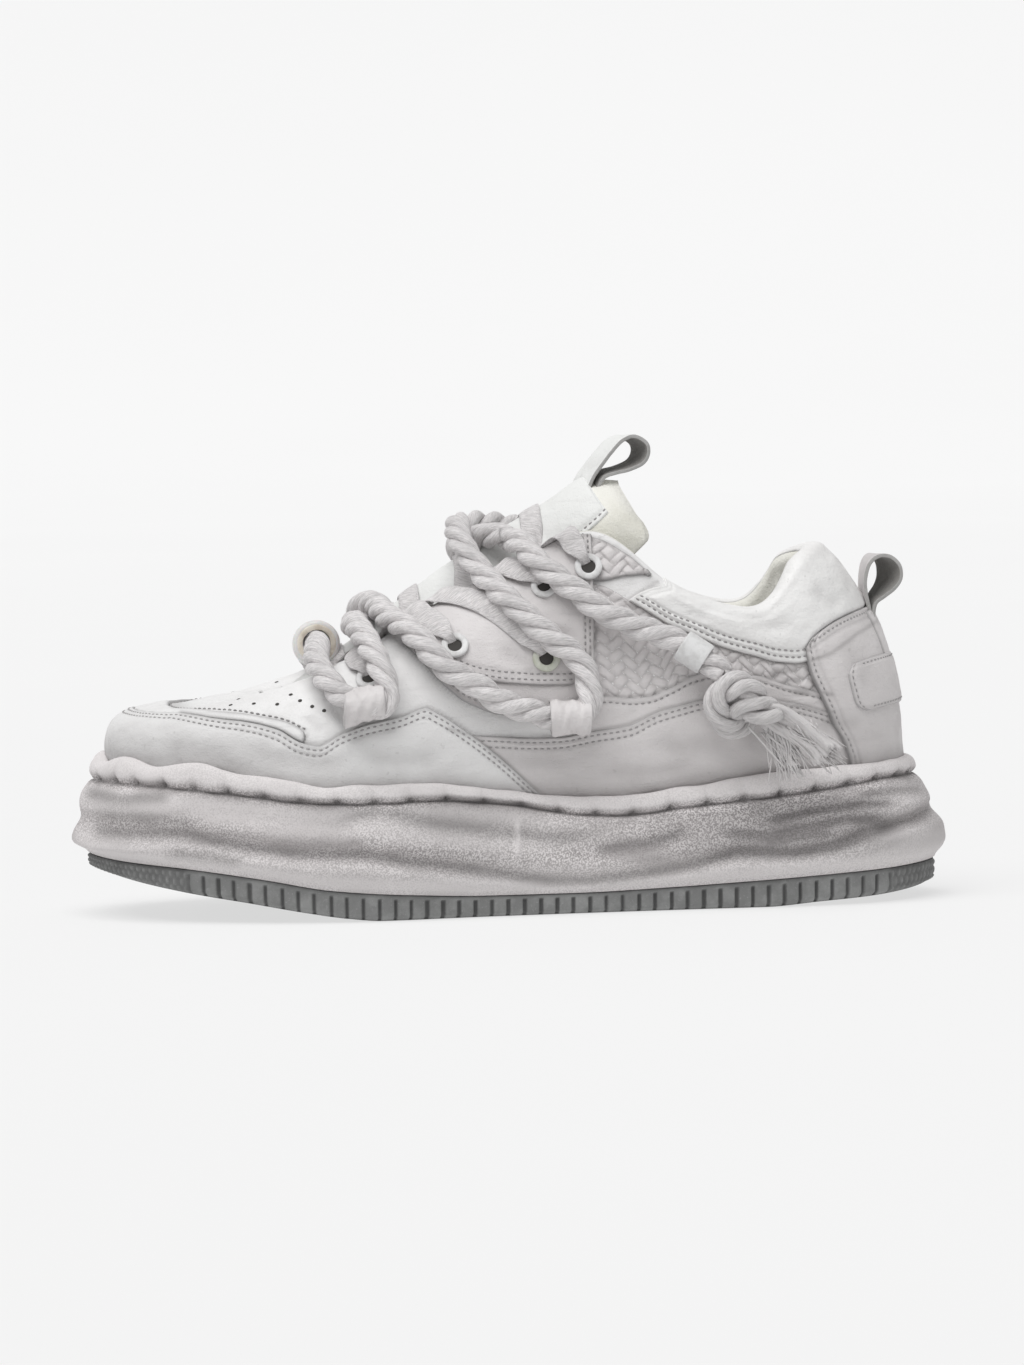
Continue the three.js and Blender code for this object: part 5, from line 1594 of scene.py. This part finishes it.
def tongue_point(s, t):
    across = [spline([(q[0], -q[1], q[2]), (p[0], -p[1], p[2]), (x, 0, z), p, q], t)
              for (x, z), p, q, _ in TONGUE]
    return spline_each(np.array(across), s)


def tongue_normal(s, t):
    step = 0.01
    clamp = lambda value: np.clip(value, 0, 1)
    up = tongue_point(clamp(s + step), t) - tongue_point(clamp(s - step), t)
    over = tongue_point(s, clamp(t + step)) - tongue_point(s, clamp(t - step))
    return unit(np.cross(up, over))


def tongue_thick(s, t):
    rows = [(i / (len(TONGUE) - 1), row[3]) for i, row in enumerate(TONGUE)]
    return along(rows, s) * (1 - 0.4 * (2 * t - 1) ** 4) * (1 - 0.15 * smooth(s, 0.93, 1))


def pillow(a, s):
    """a goes round the section, s climbs the tongue."""
    shut = np.sqrt(np.clip(1 - ((s - 0.965) / 0.035).clip(0) ** 2, 0, 1))
    turn = 2 * math.pi * a
    t = 0.5 - 0.5 * squared(np.cos(turn), 0.55) * (0.86 + 0.14 * shut)
    layer = 0.5 * squared(np.sin(turn), 0.55) * (0.25 + 0.75 * shut) - 0.5
    normal = tongue_normal(s, t)
    points = tongue_point(s, t) + normal * (layer * tongue_thick(s, t))[:, None]
    top = unit(tongue_point(1 + 0 * s, t) - tongue_point(0.93 + 0 * s, t))
    puff = (11 - 5 * np.abs(2 * t - 1)) * smooth(s, 0.84, 1) * np.sin(-math.pi * layer).clip(0)
    points = points + top * puff[:, None]
    quilt = (0.6 * ripple(*points.T, 12, 21) + 1.0 * smooth(s, 0.75, 0.9)) * shut
    return points + normal * (np.where(layer > -0.3, 0.2, -1) * quilt)[:, None]


tongue = band("tongue_padding", 96, 150, pillow, LINING,
              grime=lambda a, s: 0.6 * smooth(0.6 - s, 0, 0.3))
close_holes(tongue)
settle(tongue, "lining_cloth", "tongue")


FACE_CLIMB = (0.02, 0.985)
FACE_WIDTH = (0.235, 0.765)


def face_surface(s, t):
    """The leather face: t runs over the tongue between its two side seams."""
    climb, across = lerp(*FACE_CLIMB, s), lerp(*FACE_WIDTH, t)
    d = np.minimum(np.minimum(t, 1 - t) * 42, (1 - s) * 175)
    points = tongue_point(climb, across)
    puff = 0.6 + 0.9 * np.sqrt(smooth(d, -0.01, 9)) - 0.5 * np.exp(-(((d - 2.2) / 0.8) ** 2))
    puff = puff + 0.35 * ripple(*points.T, 17, 31) * smooth(d, 0, 4) - 1.0 * (d < 0.05)
    return points + tongue_normal(climb, across) * puff[:, None]


face = band("tongue_leather", 200, 72, face_surface, TONGUE_LEATHER,
            grime=lambda s, t: 0.5 * smooth(0.5 - s, 0, 0.3))
apply_modifier(face, "SOLIDIFY", thickness=0.8 * MM, offset=-1.0)
settle(face, "tongue_leather")
for t in (0.05, 0.95):
    s = np.linspace(0.5, 0.99, 300)
    across = np.full_like(s, lerp(*FACE_WIDTH, t))
    sew(face_surface(s, np.full_like(s, t)), tongue_normal(lerp(*FACE_CLIMB, s), across))

# %% [markdown]
# ## Pull loops
# A pull loop is a strap folded back on itself. Its outside is smooth leather, its cut edge
# grey and its inside the rough side of the hide, painted dark as the shade inside the
# loop, so it needs three finishes. Solidify gives the strap its thickness and hands out
# the finishes to the front, back and rim.

# %% Loops
TONGUE_LOOP = [(28.6, 147.5), (31, 152.4), (34.8, 157.4), (37.2, 160.4), (41.2, 164.6), (45.6, 166.3),
               (49.9, 164), (50.6, 160.4), (48.6, 157), (43.6, 154.7), (39, 153.6),
               (34.6, 151.9), (32, 147.5)]
HEEL_LOOP = [(129.2, 99), (128.6, 103.2), (127.6, 108), (127.4, 113), (129, 118.6), (132.4, 121.5),
             (136.6, 121.4), (139.9, 118.4), (140.4, 114), (138.2, 110.4), (134.4, 107.4),
             (131, 104.6), (129.9, 99)]
LOOP_WIDTH = 16
CUT_EDGE = brushed_cloth("cut_leather_edge", grey(0.42, 0.01), grey(0.34, 0.01))
# The loop's inside is painted dark: painted shade inside the fold of the strap.
SHADED_HIDE_BACK = brushed_cloth("rough_hide_painted_shade", grey(0.20, 0.05), grey(0.12, 0.05))


def pull_loop(name, edge, shift, outside, node, soiled):
    """A strap whose near edge follows the given points, shifted on its far edge."""
    def points_at(s, t):
        near = spline(edge, s)
        x = near[:, 0] + t * shift(near[:, 0])
        curl = 0.25 * np.sin(7 * s + 2 * t)
        return np.stack([x, (t - 0.5) * LOOP_WIDTH * (1 - 0.06 * np.sin(math.pi * s)), near[:, 1] + curl], 1)

    piece = band(name, 90, 18, points_at, outside, grime=lambda s, t: soiled + 0 * s)
    for material in (SHADED_HIDE_BACK, CUT_EDGE):
        piece.data.materials.append(material)
    apply_modifier(piece, "SOLIDIFY", thickness=1.4 * MM, offset=0.0, material_offset=1,
                   material_offset_rim=2)
    apply_modifier(piece, "BEVEL", width=0.25 * MM, segments=2, limit_method="ANGLE")
    return settle(piece, "loop_tape", node)


pull_loop("tongue_pull_loop", TONGUE_LOOP, lambda x: np.full_like(x, -4.5), TONGUE_LEATHER,
          "tongue_loop", 0.05)
pull_loop("heel_pull_loop", HEEL_LOOP, lambda x: -0.5 * (x - 127.4), GREY_LEATHER, "heel_loop", 0.4)

# %% [markdown]
# ## Eyelets and flat laces
# An eyelet is a short plastic collar pressed into the leather. A flat lace comes up out of
# each hole, bends over the collar and crosses the tongue to the other side. It is a thin
# lens in section, and it is squeezed narrow where it goes through the hole.

# %% Eyelets
EYELETS = [((-52.5, 84), 0.0, (-58, 91), 0.21), ((-22, 93.6), 2.5, (-35, 103.5), 0.34),
           ((9.5, 89.2), 2.5, (-25, 109), 0.45), ((10.8, 114), 2.5, (-3, 119), 0.53),
           ((26, 120.4), 2.5, (19, 129), 0.67)]
HOLE_SHADE = Finish("hole_shade", roughness=0.95, specular=0.05).set(Base_Color=grey(0.07, 0.05)).material


def disc(centre, normal, radius, sides=20):
    """A slightly cupped disc as (points, faces)."""
    a = unit(np.cross(normal, (0.2, 0.1, 1.0)))
    b = np.cross(normal, a)
    turn = np.linspace(0, 2 * math.pi, sides, endpoint=False)
    edge = centre + radius * (np.cos(turn)[:, None] * a + np.sin(turn)[:, None] * b)
    points = np.vstack([edge, centre - 0.05 * radius * normal])
    return points, [(i, (i + 1) % sides, sides) for i in range(sides)]


holes = []
for side, word in ((-1, "lateral"), (1, "medial")):
    for number, (place, lift, _, _) in enumerate(EYELETS, 1):
        u, v = locate(*place)
        u = mirrored(u, side)
        wear = float(upper_wear_and_shade(*last_point(u, v))[0])
        low, normal = skin(u, v, lift + wear - 0.2), last_normal(u, v)
        finish = GREEN_PLASTIC if number == 3 else RING_PLASTIC
        eyelet = turned(f"eyelet_{word}_{number}_ring", low, low + normal,
                        rounded_wall(2.5, 4.9, 1.5, 0.75), finish)
        settle(eyelet, "eyelet_ring", f"eyelet_{word}_{number}")
        # A dark disc inside the ring paints the shade of the hole.
        holes.append(disc(low + 0.62 * normal, normal, 2.7))

# %% Flat laces
LACE_WIDTH, LACE_THICK = 8.0, 1.1


def flat_lace(number, place, lift, edge, climb):
    """A lace from one hole over the tongue to the other."""
    (u0, v0), (u1, _) = locate(*place), locate(*edge)

    def half(side):
        length = np.linalg.norm(last_point(u1, 0.99) - last_point(u0, v0))
        shares = np.array([1.4 / length, 2.4 / length, 3.8 / length, 8.0 / length, 0.6, 1.0])
        outs = lift + np.array([-0.3, 1.5, 2.3, 2.1, 1.9, 2.2])
        return [skin(mirrored(lerp(u0, u1, k), side), lerp(v0, 0.99, k), out) for k, out in zip(shares, outs)]

    def over_tongue(height, t, lift):
        spot = np.array([height]), np.array([t])
        return (tongue_point(*spot) + lift * tongue_normal(*spot))[0]

    middle = [over_tongue(climb, t, 2.2) for t in (0.28, 0.39, 0.5, 0.61, 0.72)]
    points, marks = even_points([*half(-1), *middle, *half(1)[::-1]], 1.0)
    rise = unit(over_tongue(climb + 0.03, 0.5, 0.0) - over_tongue(climb - 0.03, 0.5, 0.0))
    tangent = unit(np.gradient(points, axis=0))
    wide = unit(rise - tangent * (tangent @ rise)[:, None])
    up = np.cross(tangent, wide)
    ends = np.minimum(marks, marks[-1] - marks)
    half_width = lerp(1.7, LACE_WIDTH / 2, smooth(ends, 1.5, 9.0))

    def points_at(s, a):
        k = s * (len(points) - 1)
        pick = lambda rows: np.stack([np.interp(k, range(len(rows)), rows[:, c]) for c in range(3)], 1)
        reach = np.interp(k, range(len(points)), half_width)
        x, y = squared(np.cos(2 * math.pi * a), 0.8), squared(np.sin(2 * math.pi * a), 0.6)
        curl = 0.15 * LACE_THICK * ripple(s * marks[-1], x, 0 * s, 22, number) - 0.12 * x * x * (4.2 - reach)
        return (pick(points) + pick(wide) * (x * reach)[:, None]
                + pick(up) * (y * LACE_THICK / 2 * (1 - 0.4 * x * x) + curl)[:, None])

    piece = band(f"flat_lace_{number}_strap", len(points) * 2, 24, points_at, FLAT_COTTON, (marks[-1], 18.0))
    close_holes(piece)
    print("flat lace", number, round(marks[-1]), "mm between its holes")
    return settle(piece, "lace_cotton", f"flat_lace_{number}")


for number, (place, lift, edge, climb) in enumerate(EYELETS, 1):
    flat_lace(number, place, lift, edge, climb)

# %% [markdown]
# ## Keepers
# The rope runs through four leather keepers. Each is a strap that comes out from under the
# edge of a panel, goes round the rope and back under the same edge. The strap takes the
# slope of the rope inside it and is crumpled by its pull.

# %% Keepers
KEEPER_WIDTH = 14.0


def keeper(name, centre, slope, edge_height, node, seed):
    """A strap round the rope: its lower ends go under a panel's edge."""
    centre = np.asarray(centre, float)
    u, v = locate(centre[0], centre[2])
    u = mirrored(u, -1 if centre[1] < 0 else 1)
    out = unit(last_normal(u, v) * (0, 1, 1))
    up = np.cross(out, (1, 0, 0)) * (1 if centre[1] > 0 else -1)
    depth = abs(np.dot(centre - last_point(u, v), out))

    def points_at(s, t):
        x = (s - 0.5) * KEEPER_WIDTH
        middle_z = slope * x
        drop = np.clip((centre[2] + middle_z - edge_height(centre[0] + x)) / abs(up[2]) + 0.6, 5.6, 10.5)
        low, tight = -depth + 0.9, 1 - 0.05 * np.cos(math.pi * (s - 0.5)) ** 2
        zero = 0 * x
        route = [(low, -drop - 1.2), (low + 1.6, -drop + 0.2), (0.6, -lerp(drop, 5.9, 0.55)),
                 (4.3 * tight, -4.0), (5.8 * tight, -0.4), (4.8 * tight, 3.5), (1.7, 5.7 * tight),
                 (-1.9, 5.5 * tight), (-4.7, 3.6), (-5.7, -0.6), (-depth + 1.2, -4.6),
                 (low - 0.4, -drop - 0.6)]
        rows = np.array([np.stack([a + zero, b + zero], 1) for a, b in route])
        place = spline_each(rows, t)
        crease = 0.55 * ripple(x * 1.3, 16 * t, zero, 7.5, seed)
        crease = crease + 0.28 * ripple(x, 20 * t, zero, 3.6, seed + 1)
        swell = 1 + crease / 6
        flare = 1 + 0.05 * np.sin(9 * t + seed)
        return (centre + np.stack([x * flare, zero, zero], 1) + (place[:, :1] * swell[:, None]) * out
                + (place[:, 1:] * swell[:, None] + middle_z[:, None]) * up)

    # Painted shade: the keeper is darker at its ends, where it tucks under the panel edge and goes behind the
    # rope.
    piece = band(name, 44, 110, points_at, GREY_LEATHER,
                 grime=lambda s, t: 0.1 + 0.5 * smooth(0.2 - t, 0, 0.15) + 0.4 * smooth(t, 0.6, 0.8),
                 edge=lambda s, t: 0.5 * smooth(0.03 - np.minimum(s, 1 - s), 0, 0.02))
    if np.dot(piece.data.polygons[44 * 40 + 22].normal, out) < 0:
        piece.data.flip_normals()
    apply_modifier(piece, "SOLIDIFY", thickness=1.0 * MM, offset=-1.0)
    return settle(piece, "upper_leather", node)


def guard_height(x):
    return along(sorted(MUDGUARD_EDGE), x)


def quarter_height(x):
    return along(sorted(QUARTER_EDGE), x)


keeper("keeper_outer_front", (-55.5, -55.2, 75.6), -0.30, guard_height, "lace_keeper_lateral_front", 3)
keeper("keeper_outer_rear", (16.8, -52.8, 69), -0.03, quarter_height, "lace_keeper_lateral_rear", 5)
keeper("keeper_inner_front", (-46.5, 53.3, 73.6), 0.0, guard_height, "lace_keeper_medial_front", 7)
keeper("keeper_inner_rear", (16.8, 45.7, 68.8), 0.05, quarter_height, "lace_keeper_medial_rear", 9)

# %% [markdown]
# ## Holes
# The toe box has small breathing holes on both sides of the middle. Each is a dark disc
# of painted shade laid on the leather.

# %% Breathing holes
PUNCHED = [(-69, 73.5), (-73, 75), (-77, 77), (-80, 79), (-82.5, 80.5), (-85, 76), (-89, 78), (-93, 76),
           (-98, 77), (-101, 75.5)]
for side in (-1, 1):
    for u, v in locate_all(PUNCHED):
        u = mirrored(u, side)
        wear = float(upper_wear_and_shade(*last_point(u, v))[0])
        holes.append(disc(skin(u, v, wear + 0.1), last_normal(u, v), 0.75, 10))
holes = joined("punched_hole_shade", holes, HOLE_SHADE)
settle(holes, "upper_leather")

# %% All the stitches
seams = joined("upper_stitches", STITCHES, THREAD)
settle(seams, "lace_cotton")

# %% [markdown]
# ## Floor and light
# A plain pale floor that curves up behind the shoe has no line where it ends. It is a light
# table: it glows a little itself, so it stays even. A very soft sun from the front and
# above, and a pale sky, give a quiet light. What the camera sees past the floor's edge is
# paler than the sky that lights the shoe, so that the backdrop looks the same all round.

# %% Floor
def cove(s, t):
    reach = np.where(t < 0.5, lerp(-9, 5, t / 0.5), 0)
    turn = smooth(t, 0.5, 1.0) * 0.5 * math.pi
    y = np.where(t < 0.5, reach, 5 + 3 * np.sin(turn))
    z = np.where(t < 0.5, 0, 3 - 3 * np.cos(turn)) + 4 * smooth(t, 0.98, 1.0)
    return np.stack([(s - 0.5) * 26, y, z], 1) / MM - np.array([0, 0, 0.05])


FLOOR_GLOW = 0.635
SKY_LIGHT, BACKDROP = 0.36, 0.91  # what lights the shoe, and what the camera sees past the floor
floor_finish = Finish("pale_floor", roughness=0.95, specular=0.0)
pale = floor_finish.mix(floor_finish.noise(900), grey(0.24), grey(0.26))
floor_finish.set(Base_Color=pale, Emission_Color=grey(1.0))
floor_finish.shader.inputs["Emission Strength"].default_value = FLOOR_GLOW
floor = band("floor", 8, 60, cove, floor_finish.material)


# %% Light
def soft_sun(name, way, strength, angle):
    """A sun that shines from the direction `way`, as soft as a large cloud."""
    data = bpy.data.lights.new(name, "SUN")
    data.energy, data.angle = strength, math.radians(angle)
    lamp = bpy.data.objects.new(name, data)
    bpy.context.collection.objects.link(lamp)
    back = unit(np.asarray(way, float))
    right = unit(np.cross((0.0, 1e-3, 1.0), back))
    lamp.matrix_world = standing((0, 0, 1), right, np.cross(back, right), back)


world = bpy.data.worlds.new("studio")
bpy.context.scene.world = world
world.use_nodes = True
nodes, links = world.node_tree.nodes, world.node_tree.links
sky, seen = nodes["Background"], nodes.new("ShaderNodeBackground")
for node, strength in ((sky, SKY_LIGHT), (seen, BACKDROP)):
    node.inputs["Color"].default_value = (1, 1, 1, 1)
    node.inputs["Strength"].default_value = strength
both = nodes.new("ShaderNodeMixShader")
links.new(nodes.new("ShaderNodeLightPath").outputs["Is Camera Ray"], both.inputs[0])
links.new(sky.outputs[0], both.inputs[1])
links.new(seen.outputs[0], both.inputs[2])
links.new(both.outputs[0], nodes["World Output"].inputs["Surface"])
soft_sun("high_sun", (-0.26, -0.34, 1.0), 2.35, 55)
bpy.context.scene.view_settings.view_transform = "Standard"
